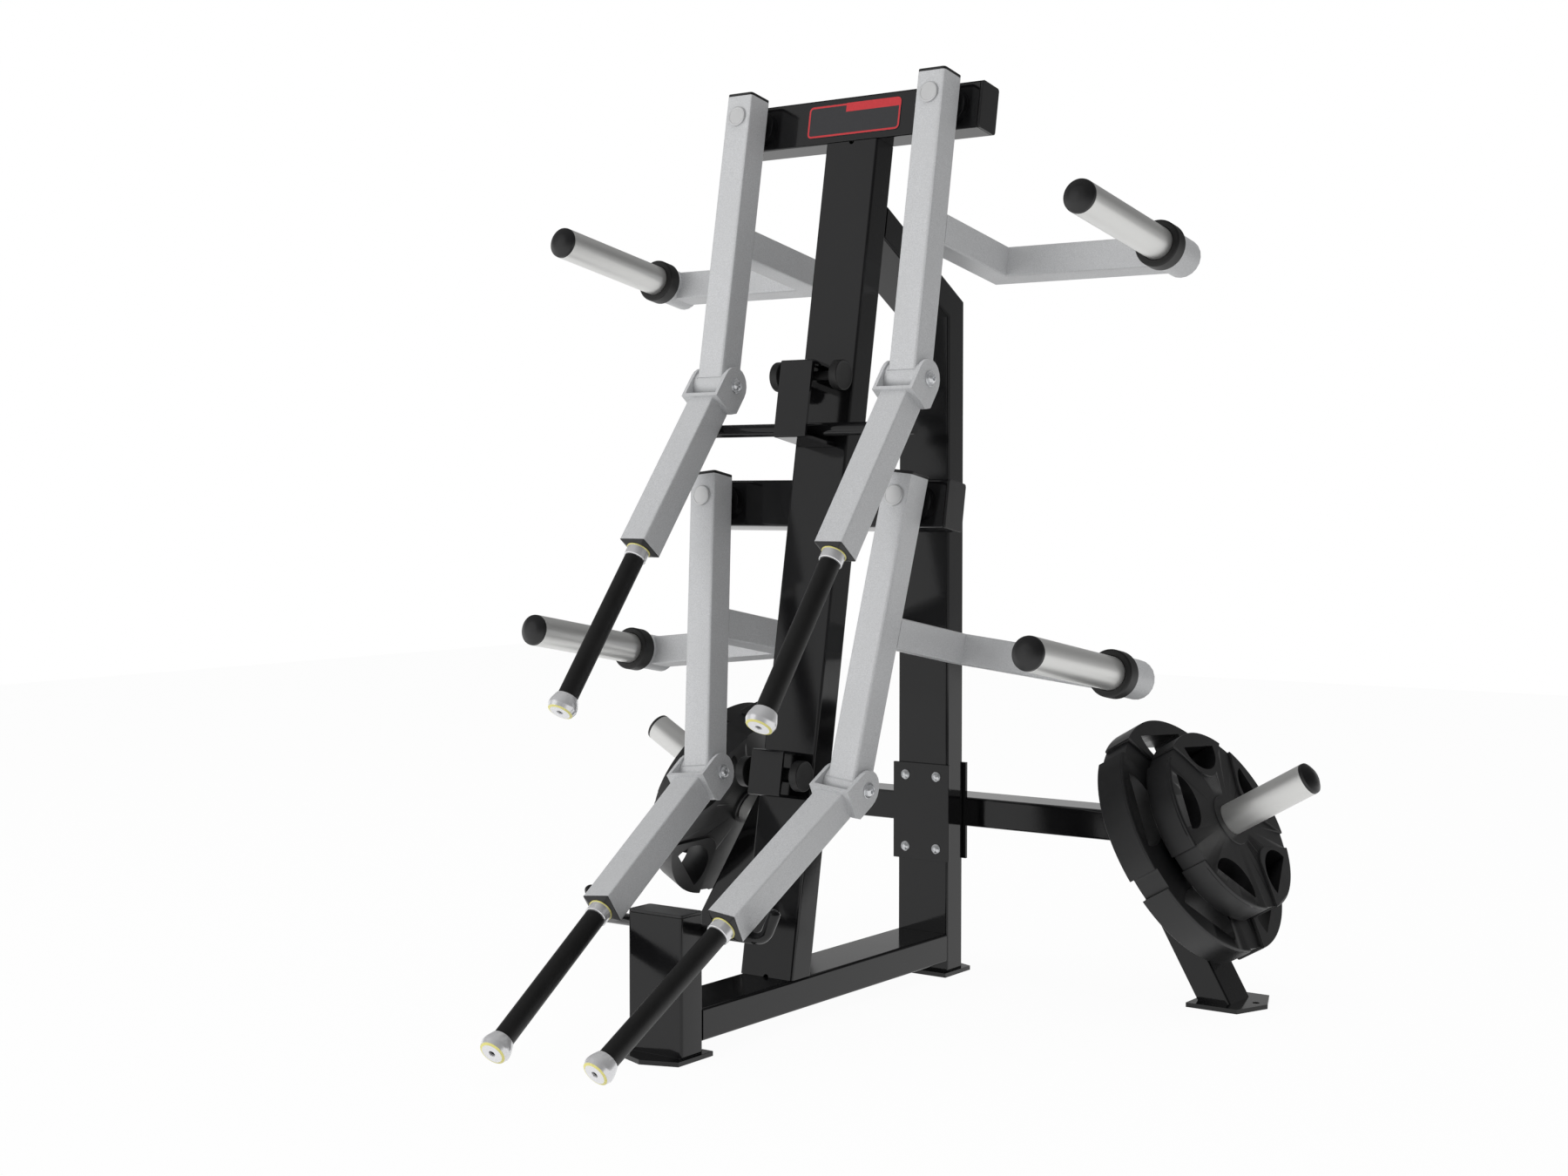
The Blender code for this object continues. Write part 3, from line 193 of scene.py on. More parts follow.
front_post = dressed("front_post", gloss_black, coated_edge)
for side in (-1, 1):
    only(front_post)
    bpy.ops.object.mode_set(mode="EDIT")
    bpy.ops.mesh.select_all(action="SELECT")
    bpy.ops.mesh.bisect(plane_co=(side * bend_start, 0, 0), plane_no=(side, 0, 0), clear_outer=True, use_fill=True)
    bpy.ops.object.mode_set(mode="OBJECT")
    bpy.ops.mesh.primitive_circle_add(vertices=28, radius=rest_bar_radius, fill_type="NGON",
                                      location=rest_bar + Vector((side * (bend_start - hook_root), 0, 0)),
                                      rotation=(0, math.radians(90), 0))
    hook = bpy.context.object
    hook.name = f"rest_bar_hook_{'left' if side < 0 else 'right'}"
    bpy.ops.object.transform_apply()
    bpy.ops.object.mode_set(mode="EDIT")
    bpy.ops.mesh.select_all(action="SELECT")
    bpy.ops.mesh.extrude_region_move(TRANSFORM_OT_translate={"value": (side * hook_root, 0, 0)})
    bend_centre = rest_bar + Vector((side * bend_start, 0, bend_radius))
    bpy.ops.mesh.spin(steps=9, angle=math.radians(side * bend_angle), center=bend_centre, axis=(0, 1, 0))
    along = Vector((side * math.cos(math.radians(bend_angle)), 0, math.sin(math.radians(bend_angle))))
    bpy.ops.mesh.extrude_region_move(TRANSFORM_OT_translate={"value": along * hook_straight})
    tip = bend_centre + Vector((side * math.sin(math.radians(bend_angle)), 0, -math.cos(math.radians(bend_angle)))
                               ) * bend_radius + along * hook_straight
    for step, shrink in ((0.0042, 0.93), (0.0030, 0.80), (0.0018, 0.60), (0.0007, 0.50)):
        bpy.ops.mesh.extrude_region_move(TRANSFORM_OT_translate={"value": along * step})
        tip += along * step
        bpy.ops.transform.resize(value=(shrink, shrink, shrink), center_override=tip)
    bpy.ops.mesh.select_all(action="SELECT")
    bpy.ops.mesh.normals_make_consistent(inside=False)
    bpy.ops.object.mode_set(mode="OBJECT")
    shade_smooth(hook)
    hook.data.materials.append(gloss_black)
    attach(hook, "frame")


# Tube caps: injection-moulded black ABS plugs pressed into the open ends of the front post, the arms
# and the crossbeams. Their domed edges are rounder than the steel's, and they are a shade duller.

# Moulded ABS: IOR 1.54, spark-eroded mould grain of about 1 mm, which breaks up the reflection, and a
# shade that clouds over 25 mm.
moulded_abs, tree, shader = new_material("moulded_black_abs", Roughness=0.38, IOR=1.54)
place = add_node(tree, "ShaderNodeTexCoord", {}).outputs["Object"]
grain = add_node(tree, "ShaderNodeTexVoronoi", {"Vector": place, "Scale": 900.0})
cloud = add_node(tree, "ShaderNodeTexNoise", {"Vector": place, "Scale": 40.0, "Detail": 3.0})
shade = add_node(tree, "ShaderNodeMix", {0: cloud.outputs["Fac"], 6: linear("#101011"), 7: linear("#1a1a1b")},
                 data_type="RGBA")
tree.links.new(shade.outputs[2], shader.inputs["Base Color"])
bump = add_node(tree, "ShaderNodeBump", {"Height": grain.outputs["Distance"], "Strength": 0.12, "Distance": 0.0003})
tree.links.new(bump.outputs["Normal"], shader.inputs["Normal"])

moulded_edge = 0.0012
sides = (("left", -1), ("right", 1))
# Each arm's name, such as upper_left, with its level and its side.
tags = [(f"{level}_{name}", level, side) for level in ("upper", "lower") for name, side in sides]
dressed("front_post_cap", moulded_abs, moulded_edge)
for tag, level, side in tags:
    dressed(f"{tag}_beam_cap", moulded_abs, moulded_edge)
    dressed(f"{tag}_arm_cap", moulded_abs, moulded_edge)


# Placard: a thin printed aluminium plate glued to the front of the upper crossbeam. It has rounded
# corners, a dark field, a plain red border and a plain red band along half of its top.

foot = Vector((0, -0.1249, 0.079))
lean = 10.08
placard_width, placard_height, placard_thickness = 0.197, 0.059, 0.0009
placard_middle, placard_corner, placard_glue = 1.5132, 0.009, 0.0001
placard_margin, placard_border = 0.0007, 0.0033
band_left, band_bottom = -0.018, 0.0135


def seat(place, *turns):
    """The matrix of a place, with turns in degrees about named axes."""
    matrix = Matrix.Translation(place)
    for axis, angle in turns:
        matrix = matrix @ Matrix.Rotation(math.radians(angle), 4, axis)
    return matrix


def settle(piece, matrix, body, material=None, nodes=()):
    """Puts a piece made at the origin into its place, with the place in its mesh."""
    piece.data.transform(matrix)
    piece.data.update()
    if material:
        piece.data.materials.clear()
        piece.data.materials.append(material)
    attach(piece, body)
    if nodes:
        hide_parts(*nodes)
    return piece


leaning = seat(foot, ("X", -lean))

# Screen print on aluminium: a satin lacquer, IOR 1.49, over flat ink, with the ink's own mottle of 4 mm.
printed = {}
for ink, colours in {"placard_dark_ink": ("#242426", "#2d2d30"), "placard_red_ink": ("#b3242a", "#c9333a")}.items():
    printed[ink], tree, shader = new_material(ink, Roughness=0.34, IOR=1.49)
    place = add_node(tree, "ShaderNodeTexCoord", {}).outputs["Object"]
    mottle = add_node(tree, "ShaderNodeTexNoise", {"Vector": place, "Scale": 260.0, "Detail": 4.0})
    shade = add_node(tree, "ShaderNodeMix", {0: mottle.outputs["Fac"], 6: linear(colours[0]), 7: linear(colours[1])},
                     data_type="RGBA")
    tree.links.new(shade.outputs[2], shader.inputs["Base Color"])

bpy.ops.mesh.primitive_plane_add(size=1, rotation=(math.radians(90), 0, 0))
placard = bpy.context.object
placard.name = "placard"
placard.scale = (placard_width, placard_height, 1)
bpy.ops.object.transform_apply()
bpy.ops.object.mode_set(mode="EDIT")
bpy.ops.mesh.select_all(action="SELECT")
bpy.ops.mesh.bevel(offset=placard_corner, segments=5, affect="VERTICES")
bpy.ops.mesh.extrude_region_move(TRANSFORM_OT_translate={"value": (0, -placard_thickness, 0)})
bpy.ops.object.mode_set(mode="OBJECT")
placard.data.materials.append(printed["placard_dark_ink"])
placard.data.materials.append(printed["placard_red_ink"])
select_faces(placard, lambda centre, normal: centre.y < -0.9 * placard_thickness)
placard.active_material_index = 1
bpy.ops.mesh.inset(thickness=placard_margin)
bpy.ops.object.material_slot_assign()
bpy.ops.mesh.inset(thickness=placard_border)
placard.active_material_index = 0
bpy.ops.object.material_slot_assign()
for edge, direction in (((band_left, 0, 0), (1, 0, 0)), ((0, 0, band_bottom), (0, 0, 1))):
    bpy.ops.mesh.select_all(action="SELECT")
    bpy.ops.mesh.bisect(plane_co=edge, plane_no=direction)
bpy.ops.object.mode_set(mode="OBJECT")
for face in placard.data.polygons:
    if face.center.x > band_left and face.center.z > band_bottom and face.normal.y < -0.9:
        face.material_index = 1
settle(placard, leaning @ Matrix.Translation((0, -placard_glue, placard_middle)), "frame")


# Stop bumpers: pairs of moulded rubber discs with flat faces on an axle, in a channel on the upright at
# each pair of elbows. When the arms swing inwards, the elbows stop against the discs' flat faces.

def turned(name, rings, segments=64, closed=False):
    """A piece turned about Z from (radius, height) rings, each ring extruded from the one before.

    Its points keep their height in the attribute "along", which turning marks follow."""
    bpy.ops.object.select_all(action="DESELECT")
    bpy.ops.mesh.primitive_circle_add(vertices=segments, radius=rings[0][0], location=(0, 0, rings[0][1]),
                                      fill_type="NOTHING" if closed else "NGON")
    piece = bpy.context.object
    piece.name = name
    bpy.ops.object.transform_apply()
    bpy.ops.object.mode_set(mode="EDIT")
    bpy.ops.mesh.select_mode(type="VERT")
    bpy.ops.mesh.select_all(action="SELECT")
    for (radius, height), (next_radius, next_height) in zip(rings, rings[1:]):
        bpy.ops.mesh.extrude_region_move(TRANSFORM_OT_translate={"value": (0, 0, next_height - height)})
        bpy.ops.transform.resize(value=(next_radius / radius, next_radius / radius, 1),
                                 center_override=(0, 0, next_height))
    bpy.ops.mesh.select_all(action="SELECT")
    bpy.ops.mesh.remove_doubles(threshold=0.00001)
    bpy.ops.mesh.normals_make_consistent(inside=False)
    bpy.ops.object.mode_set(mode="OBJECT")
    shade_smooth(piece)
    heights = piece.data.attributes.new("along", "FLOAT", "POINT")
    heights.data.foreach_set("value", [vertex.co.z for vertex in piece.data.vertices])
    return piece


def bend(centre, radius, start, end, steps=4):
    """Rings round a corner: an arc about (radius, height), angles in degrees from outward to +Z."""
    angles = [math.radians(start + (end - start) * i / steps) for i in range(steps + 1)]
    return [(centre[0] + radius * math.cos(a), centre[1] + radius * math.sin(a)) for a in angles]


# Moulded nitrile rubber: IOR 1.52, matt, with the fine pitting of a blasted mould at about 0.8 mm and a
# faint grey bloom in patches of 45 mm.
moulded_rubber, tree, shader = new_material("moulded_black_rubber", IOR=1.52)
place = add_node(tree, "ShaderNodeTexCoord", {}).outputs["Object"]
pits = add_node(tree, "ShaderNodeTexNoise", {"Vector": place, "Scale": 1200.0, "Detail": 2.0})
bloom = add_node(tree, "ShaderNodeTexNoise", {"Vector": place, "Scale": 22.0, "Detail": 5.0})
shade = add_node(tree, "ShaderNodeMix", {0: bloom.outputs["Fac"], 6: linear("#0f0f0f"), 7: linear("#191919")},
                 data_type="RGBA")
tree.links.new(shade.outputs[2], shader.inputs["Base Color"])
rough = add_node(tree, "ShaderNodeMapRange", {"Value": bloom.outputs["Fac"], "To Min": 0.42, "To Max": 0.62})
tree.links.new(rough.outputs["Result"], shader.inputs["Roughness"])
bump = add_node(tree, "ShaderNodeBump", {"Height": pits.outputs["Fac"], "Strength": 0.03, "Distance": 0.0003})
tree.links.new(bump.outputs["Normal"], shader.inputs["Normal"])

bumper_radius, bumper_width, bumper_edge, axle_radius = 0.0262, 0.016, 0.0016, 0.008
# A pair's height up the upright, how far it stands off it, and where its outer faces are.
for level, rise, stand_off, outer in (("upper", 1.03495, 0.050, 0.0705), ("lower", 0.34493, 0.036, 0.0640)):
    inner = outer - bumper_width
    half = ([(0.004, outer - 0.0008), (0.0215, outer - 0.0008), (0.0228, outer)]
            + bend((bumper_radius - bumper_edge, outer - bumper_edge), bumper_edge, 90, 0)
            + bend((bumper_radius - bumper_edge, inner + bumper_edge), bumper_edge, 0, -90)
            + [(axle_radius, inner)])
    rings = [(radius, -height) for radius, height in half] + [(radius, height) for radius, height in half[::-1]]
    bumper = turned(f"{level}_bumpers", rings, 48)
    settle(bumper, leaning @ seat((0, -stand_off, rise), ("Y", 90)), "frame", moulded_rubber,
           (f"{level}_stop_bumper",))


# Rear clamp: a flat plate on the front of the rear post, bolted through it to the stabiliser's plate
# by four M12 dome-head bolts. The plates are coated like the frame, and the bolts are zinc-plated.

bolt_across, bolt_up, clamp_middle = 0.034, 0.068, 0.306
head_height, shank_reach, tip_reach, plate_back = 0.0068, 0.0098, 0.0088, 0.38


def copied(model, name):
    """A copy of a model under its own name, with a mesh of its own."""
    piece = bpy.data.objects.new(name, model.data.copy())
    bpy.context.scene.collection.objects.link(piece)
    return piece


# Zinc-plated steel: bright, slightly blue-grey, with the cloudy grain of the plating at about 3 mm.
zinc_plate, tree, shader = new_material("zinc_plated_steel", Metallic=0.65)
place = add_node(tree, "ShaderNodeTexCoord", {}).outputs["Object"]
cloud = add_node(tree, "ShaderNodeTexNoise", {"Vector": place, "Scale": 330.0, "Detail": 4.0})
rough = add_node(tree, "ShaderNodeMapRange", {"Value": cloud.outputs["Fac"], "To Min": 0.14, "To Max": 0.26})
tree.links.new(rough.outputs["Result"], shader.inputs["Roughness"])
shade = add_node(tree, "ShaderNodeMix", {0: cloud.outputs["Fac"], 6: linear("#cfd1d4"), 7: linear("#e6e7e9")},
                 data_type="RGBA")
tree.links.new(shade.outputs[2], shader.inputs["Base Color"])

clamp = dressed("clamp_plate", gloss_black, 0.0007)
clamp.data.materials.append(zinc_plate)
# The solid's own bolts are zinc too: the sides round each axis, and the tips behind the plate.
for face in clamp.data.polygons:
    off = math.hypot(abs(face.center.x) - bolt_across, abs(face.center.z - clamp_middle) - bolt_up)
    if off < shank_reach and abs(face.normal.y) < 0.999 or off < tip_reach and face.center.y > plate_back:
        face.material_index = 1
clamp_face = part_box("clamp_plate")[0].y + head_height
bolt_head = turned("bolt_head", [(0.0090, 0.0), (0.0090, 0.0012), (0.0085, 0.0015), (0.0083, 0.0026)]
                   + bend((0.0, -0.0008), 0.0085, 24, 62, 5)
                   + [(0.0035, head_height), (0.0033, 0.0052), (0.002, 0.0050)], 32)
for index, (across, up) in enumerate(((-1, -1), (1, -1), (-1, 1), (1, 1))):
    settle(copied(bolt_head, f"clamp_bolt_head_{index + 1}"),
           seat((across * bolt_across, clamp_face, clamp_middle + up * bolt_up), ("X", 90)), "frame",
           zinc_plate)
bpy.data.objects.remove(bolt_head)


# Pivot pins: turned steel pins through each crossbeam, on which the arms swing. A flat satin cap with
# a soft edge closes the bore in front of the arm.

beam_depth, gap_and_arm = 0.055, 0.075
beam_setback = {"upper": 0.0, "lower": 0.0152}
pivot_out, pivot_height = 0.2033, {"upper": 1.51325, "lower": 0.82325}
pin_rings = ([(0.0100, -beam_depth), (0.0125, -beam_depth + 0.002), (0.0125, gap_and_arm + 0.0003),
              (0.0178, gap_and_arm + 0.0003)] + bend((0.0166, gap_and_arm + 0.0028), 0.0012, 0, 90)
             + [(0.0150, gap_and_arm + 0.0040), (0.0145, gap_and_arm + 0.0036), (0.004, gap_and_arm + 0.0036)])

# Satin nickel on turned steel: fine rings from the lathe, 0.6 mm apart so that they show at all, and
# handling wear in patches of 30 mm.
turned_steel, tree, shader = new_material("turned_satin_steel", Metallic=0.6)
along = add_node(tree, "ShaderNodeAttribute", {}, attribute_name="along").outputs["Fac"]
place = add_node(tree, "ShaderNodeTexCoord", {}).outputs["Object"]
lathe = add_node(tree, "ShaderNodeMath", {0: along, 1: 1600.0}, operation="MULTIPLY")
rings = add_node(tree, "ShaderNodeTexNoise", {"W": lathe.outputs[0], "Scale": 1.0, "Detail": 3.0},
                 noise_dimensions="1D")
wear = add_node(tree, "ShaderNodeTexNoise", {"Vector": place, "Scale": 30.0, "Detail": 4.0})
both = add_node(tree, "ShaderNodeMath", {0: rings.outputs["Fac"], 1: wear.outputs["Fac"]}, operation="MULTIPLY")
rough = add_node(tree, "ShaderNodeMapRange", {"Value": both.outputs[0], "From Min": 0.1, "From Max": 0.45,
                                              "To Min": 0.3, "To Max": 0.38})
tree.links.new(rough.outputs["Result"], shader.inputs["Roughness"])
shade = add_node(tree, "ShaderNodeMix", {0: rings.outputs["Fac"], 6: linear("#c6c7c8"), 7: linear("#dadada")},
                 data_type="RGBA")
tree.links.new(shade.outputs[2], shader.inputs["Base Color"])
bump = add_node(tree, "ShaderNodeBump", {"Height": rings.outputs["Fac"], "Strength": 0.08, "Distance": 0.0002})
tree.links.new(bump.outputs["Normal"], shader.inputs["Normal"])

pin = turned("pin", pin_rings, 48)
for tag, level, side in tags:
    settle(copied(pin, f"{tag}_pin"),
           leaning @ seat((side * pivot_out, beam_setback[level], pivot_height[level]), ("X", 90)), "frame",
           turned_steel, (f"{tag}_pivot_pin",))
bpy.data.objects.remove(pin)


# Arms: 55 mm square tube in silver powder coat. Each hangs from its pivot and carries a bracket that
# runs back and out to the sleeve's stub. At its lower end a round knuckle sits in the forearm's yoke,
# and a groove across the front and back marks where the knuckle is welded on.

arm_length, tube_half, lower_splay = 0.490, 0.0275, 6
arm_middle = {"upper": 0.0475, "lower": 0.0323}
knuckle_radius, groove_height, groove_depth, groove_width, cut_past = 0.0293, 0.0018, 0.0016, 0.056, 0.0015
groove_rise = math.sqrt(knuckle_radius ** 2 - tube_half ** 2)

# Silver powder coat: aluminium flake in clear polyester. It looks satin, and the flake shows as a fine
# sparkle; real flake is 0.05 mm, drawn here at about 1.2 mm so that it shows. Its tone drifts over 80 mm.
silver_coat, tree, shader = new_material("silver_flake_powder_coat", Metallic=0.15, IOR=1.5)
place = add_node(tree, "ShaderNodeTexCoord", {}).outputs["Object"]
flake = add_node(tree, "ShaderNodeTexVoronoi", {"Vector": place, "Scale": 800.0})
drift = add_node(tree, "ShaderNodeTexNoise", {"Vector": place, "Scale": 12.0, "Detail": 5.0})
shade = add_node(tree, "ShaderNodeMix", {0: flake.outputs["Color"], 6: linear("#b2b3b5"), 7: linear("#dddee0")},
                 data_type="RGBA")
tint = add_node(tree, "ShaderNodeMix", {0: drift.outputs["Fac"], 6: shade.outputs[2], 7: linear("#c6c7c8")},
                data_type="RGBA")
tree.links.new(tint.outputs[2], shader.inputs["Base Color"])
rough = add_node(tree, "ShaderNodeMapRange", {"Value": drift.outputs["Fac"], "To Min": 0.34, "To Max": 0.5})
tree.links.new(rough.outputs["Result"], shader.inputs["Roughness"])
bump = add_node(tree, "ShaderNodeBump", {"Height": flake.outputs["Distance"], "Strength": 0.05,
                                         "Distance": 0.0003})
tree.links.new(bump.outputs["Normal"], shader.inputs["Normal"])


def cut_with(piece, tool, operation):
    """Joins a piece with a tool, or cuts the tool out of it, and removes the tool."""
    only(piece)
    boolean = piece.modifiers.new("cut", "BOOLEAN")
    boolean.operation = operation
    boolean.object = tool
    boolean.solver = "EXACT"
    bpy.ops.object.modifier_apply(modifier="cut")
    bpy.data.objects.remove(tool)


arm_frame = {}
for tag, level, side in tags:
    splay = lower_splay if level == "lower" else 0
    arm_frame[tag] = leaning @ seat((side * pivot_out, -arm_middle[level], pivot_height[level]), ("Y", side * splay))
    arm = dressed(f"{tag}_arm", silver_coat, coated_edge)
    for face in (-1, 1):
        bpy.ops.mesh.primitive_cube_add(size=1)
        groove = bpy.context.object
        groove.data.transform(arm_frame[tag] @ Matrix.Translation((0, face * (tube_half + cut_past),
                                                                   groove_rise - arm_length))
                              @ Matrix.Diagonal((groove_width, 2 * (groove_depth + cut_past), groove_height, 1)))
        cut_with(arm, groove, "DIFFERENCE")
    shade_smooth(arm)


# Load sleeves: 57 mm chromed steel tube that takes plates, with a moulded collar that they stop
# against and a black domed cap pressed into the open end.

bracket_drop, sleeve_out, sleeve_radius, sleeve_bore, sleeve_reach = 0.225, 0.338, 0.0285, 0.0255, 0.0785
sleeve_back, collar_radius, collar_front, collar_back, fit_gap = 0.290, 0.0405, 0.192, 0.220, 0.0003
dome = ((0.0281, 0.0002), (0.0285, 0.0007), (0.0284, 0.0030), (0.0278, 0.0056), (0.0262, 0.0070), (0.0240, 0.0083),
        (0.0210, 0.0100), (0.0171, 0.0122), (0.0120, 0.0134), (0.0060, 0.0143), (0.0020, 0.0147))

# Hard chrome, brushed round the tube on a belt: bright, with rings of fine scratches drawn 0.5 mm
# apart, which stretch the highlights round the tube, and a thin film of dust in patches of 110 mm.
brushed_chrome, tree, shader = new_material("brushed_chrome", Metallic=0.75)
along = add_node(tree, "ShaderNodeAttribute", {}, attribute_name="along").outputs["Fac"]
place = add_node(tree, "ShaderNodeTexCoord", {}).outputs["Object"]
belt = add_node(tree, "ShaderNodeMath", {0: along, 1: 2000.0}, operation="MULTIPLY")
scratches = add_node(tree, "ShaderNodeTexNoise", {"W": belt.outputs[0], "Scale": 1.0, "Detail": 4.0,
                                                  "Roughness": 0.7}, noise_dimensions="1D")
film = add_node(tree, "ShaderNodeTexNoise", {"Vector": place, "Scale": 9.0, "Detail": 1.0})
both = add_node(tree, "ShaderNodeMath", {0: scratches.outputs["Fac"], 1: film.outputs["Fac"]}, operation="ADD")
rough = add_node(tree, "ShaderNodeMapRange", {"Value": both.outputs[0], "From Min": 0.6, "From Max": 1.4,
                                              "To Min": 0.32, "To Max": 0.38})
tree.links.new(rough.outputs["Result"], shader.inputs["Roughness"])
shade = add_node(tree, "ShaderNodeMix", {0: scratches.outputs["Fac"], 6: linear("#dadad8"), 7: linear("#e4e4e2")},
                 data_type="RGBA")
tree.links.new(shade.outputs[2], shader.inputs["Base Color"])
bump = add_node(tree, "ShaderNodeBump", {"Height": scratches.outputs["Fac"], "Strength": 0.015,
                                         "Distance": 0.0001})
tree.links.new(bump.outputs["Normal"], shader.inputs["Normal"])

# Heights run forward from the arm's middle, so the open end is at sleeve_reach.
sleeve = turned("sleeve", [(sleeve_bore, -sleeve_back), (sleeve_radius, -sleeve_back), (sleeve_radius, -0.1),
                           (sleeve_radius, sleeve_reach - 0.0008), (sleeve_radius - 0.0008, sleeve_reach),
                           (sleeve_bore, sleeve_reach), (sleeve_bore, -sleeve_back)], 72, closed=True)
sleeve_cap = turned("sleeve_cap", [(sleeve_bore - 0.0005, sleeve_reach - 0.014),
                                   (sleeve_bore - 0.0003, sleeve_reach + 0.0002)]
                    + [(radius, sleeve_reach + height) for radius, height in dome], 64)
collar_bore = sleeve_radius + fit_gap
collar = turned("collar", [(collar_bore, -collar_back), (collar_radius - 0.001, -collar_back),
                           (collar_radius, -collar_back + 0.001), (collar_radius, -collar_front - 0.004)]
                + bend((collar_radius - 0.0035, -collar_front - 0.0035), 0.0035, 0, 90)
                + [(sleeve_radius + 0.0018, -collar_front), (collar_bore, -collar_front - 0.001),
                   (collar_bore, -collar_back)], 72, closed=True)
for tag, level, side in tags:
    axis = arm_frame[tag] @ seat((side * sleeve_out, 0, -bracket_drop), ("X", 90))
    settle(copied(sleeve, f"{tag}_sleeve"), axis, f"{tag}_arm", brushed_chrome,
           (f"{tag}_load_sleeve",))
    settle(copied(sleeve_cap, f"{tag}_end_cap"), axis, f"{tag}_arm", moulded_abs,
           (f"{tag}_sleeve_cap",))
    settle(copied(collar, f"{tag}_collar"), axis, f"{tag}_arm", moulded_rubber,
           (f"{tag}_sleeve_collar",))
for model in (sleeve, sleeve_cap, collar):
    bpy.data.objects.remove(model)


# Forearms: a U-shaped yoke bent from 6.5 mm plate, welded to a short 55 mm square tube and coated
# silver. The yoke's round ears straddle the arm's knuckle.

elbow_flex = {"upper": 27.6, "lower": 47.9}
forearm_frame = {tag: arm_frame[tag] @ seat((0, 0, -arm_length), ("X", -elbow_flex[level]))
                 for tag, level, side in tags}
for tag, level, side in tags:
    dressed(f"{tag}_forearm", silver_coat, 0.0010)


# Elbow bolts: zinc-plated dome-head bolts with a washer on either side of the yoke. They go through its
# ears and the arm's knuckle, and the forearm turns on them.

yoke_half = 0.0398
bolt_end = [(0.0136, yoke_half), (0.0136, yoke_half + 0.0018), (0.0129, yoke_half + 0.0025),
            (0.0096, yoke_half + 0.0025), (0.0094, yoke_half + 0.0045), (0.0086, yoke_half + 0.0066),
            (0.0068, yoke_half + 0.0082), (0.0046, yoke_half + 0.0089), (0.0042, yoke_half + 0.0088),
            (0.0040, yoke_half + 0.0064), (0.0015, yoke_half + 0.0062)]
bolt_rings = ([(radius, -height) for radius, height in bolt_end[::-1]]
              + [(0.0079, -yoke_half), (0.0079, yoke_half)] + bolt_end)
bolt = turned("elbow_bolt", bolt_rings, 40)
for tag, level, side in tags:
    settle(copied(bolt, f"{tag}_elbow_bolt_finished"), forearm_frame[tag] @ seat((0, 0, 0), ("Y", 90)),
           f"{tag}_forearm", zinc_plate, (f"{tag}_elbow_bolt",))
bpy.data.objects.remove(bolt)


# Handles: a bar with an aluminium ferrule and a barrel-shaped end knob, turned from bar and anodised
# clear, with a screw sunk in the knob's end. A square ABS plug closes the forearm, and thin yellow rings
# mark the ferrule and the knob.

forearm_end, grip_start, knob_start, knob_end = 0.365, 0.383, 0.667, 0.697
ferrule_radius, core_radius, neck_radius, knob_radius = 0.0198, 0.0125, 0.0195, 0.0252

# Clear-anodised aluminium: pale, satin, with turning rings 0.7 mm apart and a sheen that clouds over
# 17 mm.
anodised, tree, shader = new_material("clear_anodised_aluminium", Metallic=0.55)
along = add_node(tree, "ShaderNodeAttribute", {}, attribute_name="along").outputs["Fac"]
place = add_node(tree, "ShaderNodeTexCoord", {}).outputs["Object"]
lathe = add_node(tree, "ShaderNodeMath", {0: along, 1: 1400.0}, operation="MULTIPLY")
rings = add_node(tree, "ShaderNodeTexNoise", {"W": lathe.outputs[0], "Scale": 1.0, "Detail": 2.0},
                 noise_dimensions="1D")
cloud = add_node(tree, "ShaderNodeTexNoise", {"Vector": place, "Scale": 60.0, "Detail": 2.0})
both = add_node(tree, "ShaderNodeMath", {0: rings.outputs["Fac"], 1: cloud.outputs["Fac"]}, operation="ADD")
rough = add_node(tree, "ShaderNodeMapRange", {"Value": both.outputs[0], "From Min": 0.6, "From Max": 1.4,
                                              "To Min": 0.18, "To Max": 0.23})
tree.links.new(rough.outputs["Result"], shader.inputs["Roughness"])
shade = add_node(tree, "ShaderNodeMix", {0: rings.outputs["Fac"], 6: linear("#e2e2e4"), 7: linear("#ececee")},
                 data_type="RGBA")
tree.links.new(shade.outputs[2], shader.inputs["Base Color"])

# Yellow enamel: filled and baked, half gloss, a little uneven every 3 mm.
yellow, tree, shader = new_material("yellow_enamel", Roughness=0.3, IOR=1.5)
place = add_node(tree, "ShaderNodeTexCoord", {}).outputs["Object"]
uneven = add_node(tree, "ShaderNodeTexNoise", {"Vector": place, "Scale": 300.0, "Detail": 3.0})
shade = add_node(tree, "ShaderNodeMix", {0: uneven.outputs["Fac"], 6: linear("#dcd36c"), 7: linear("#efe99c")},
                 data_type="RGBA")
tree.links.new(shade.outputs[2], shader.inputs["Base Color"])

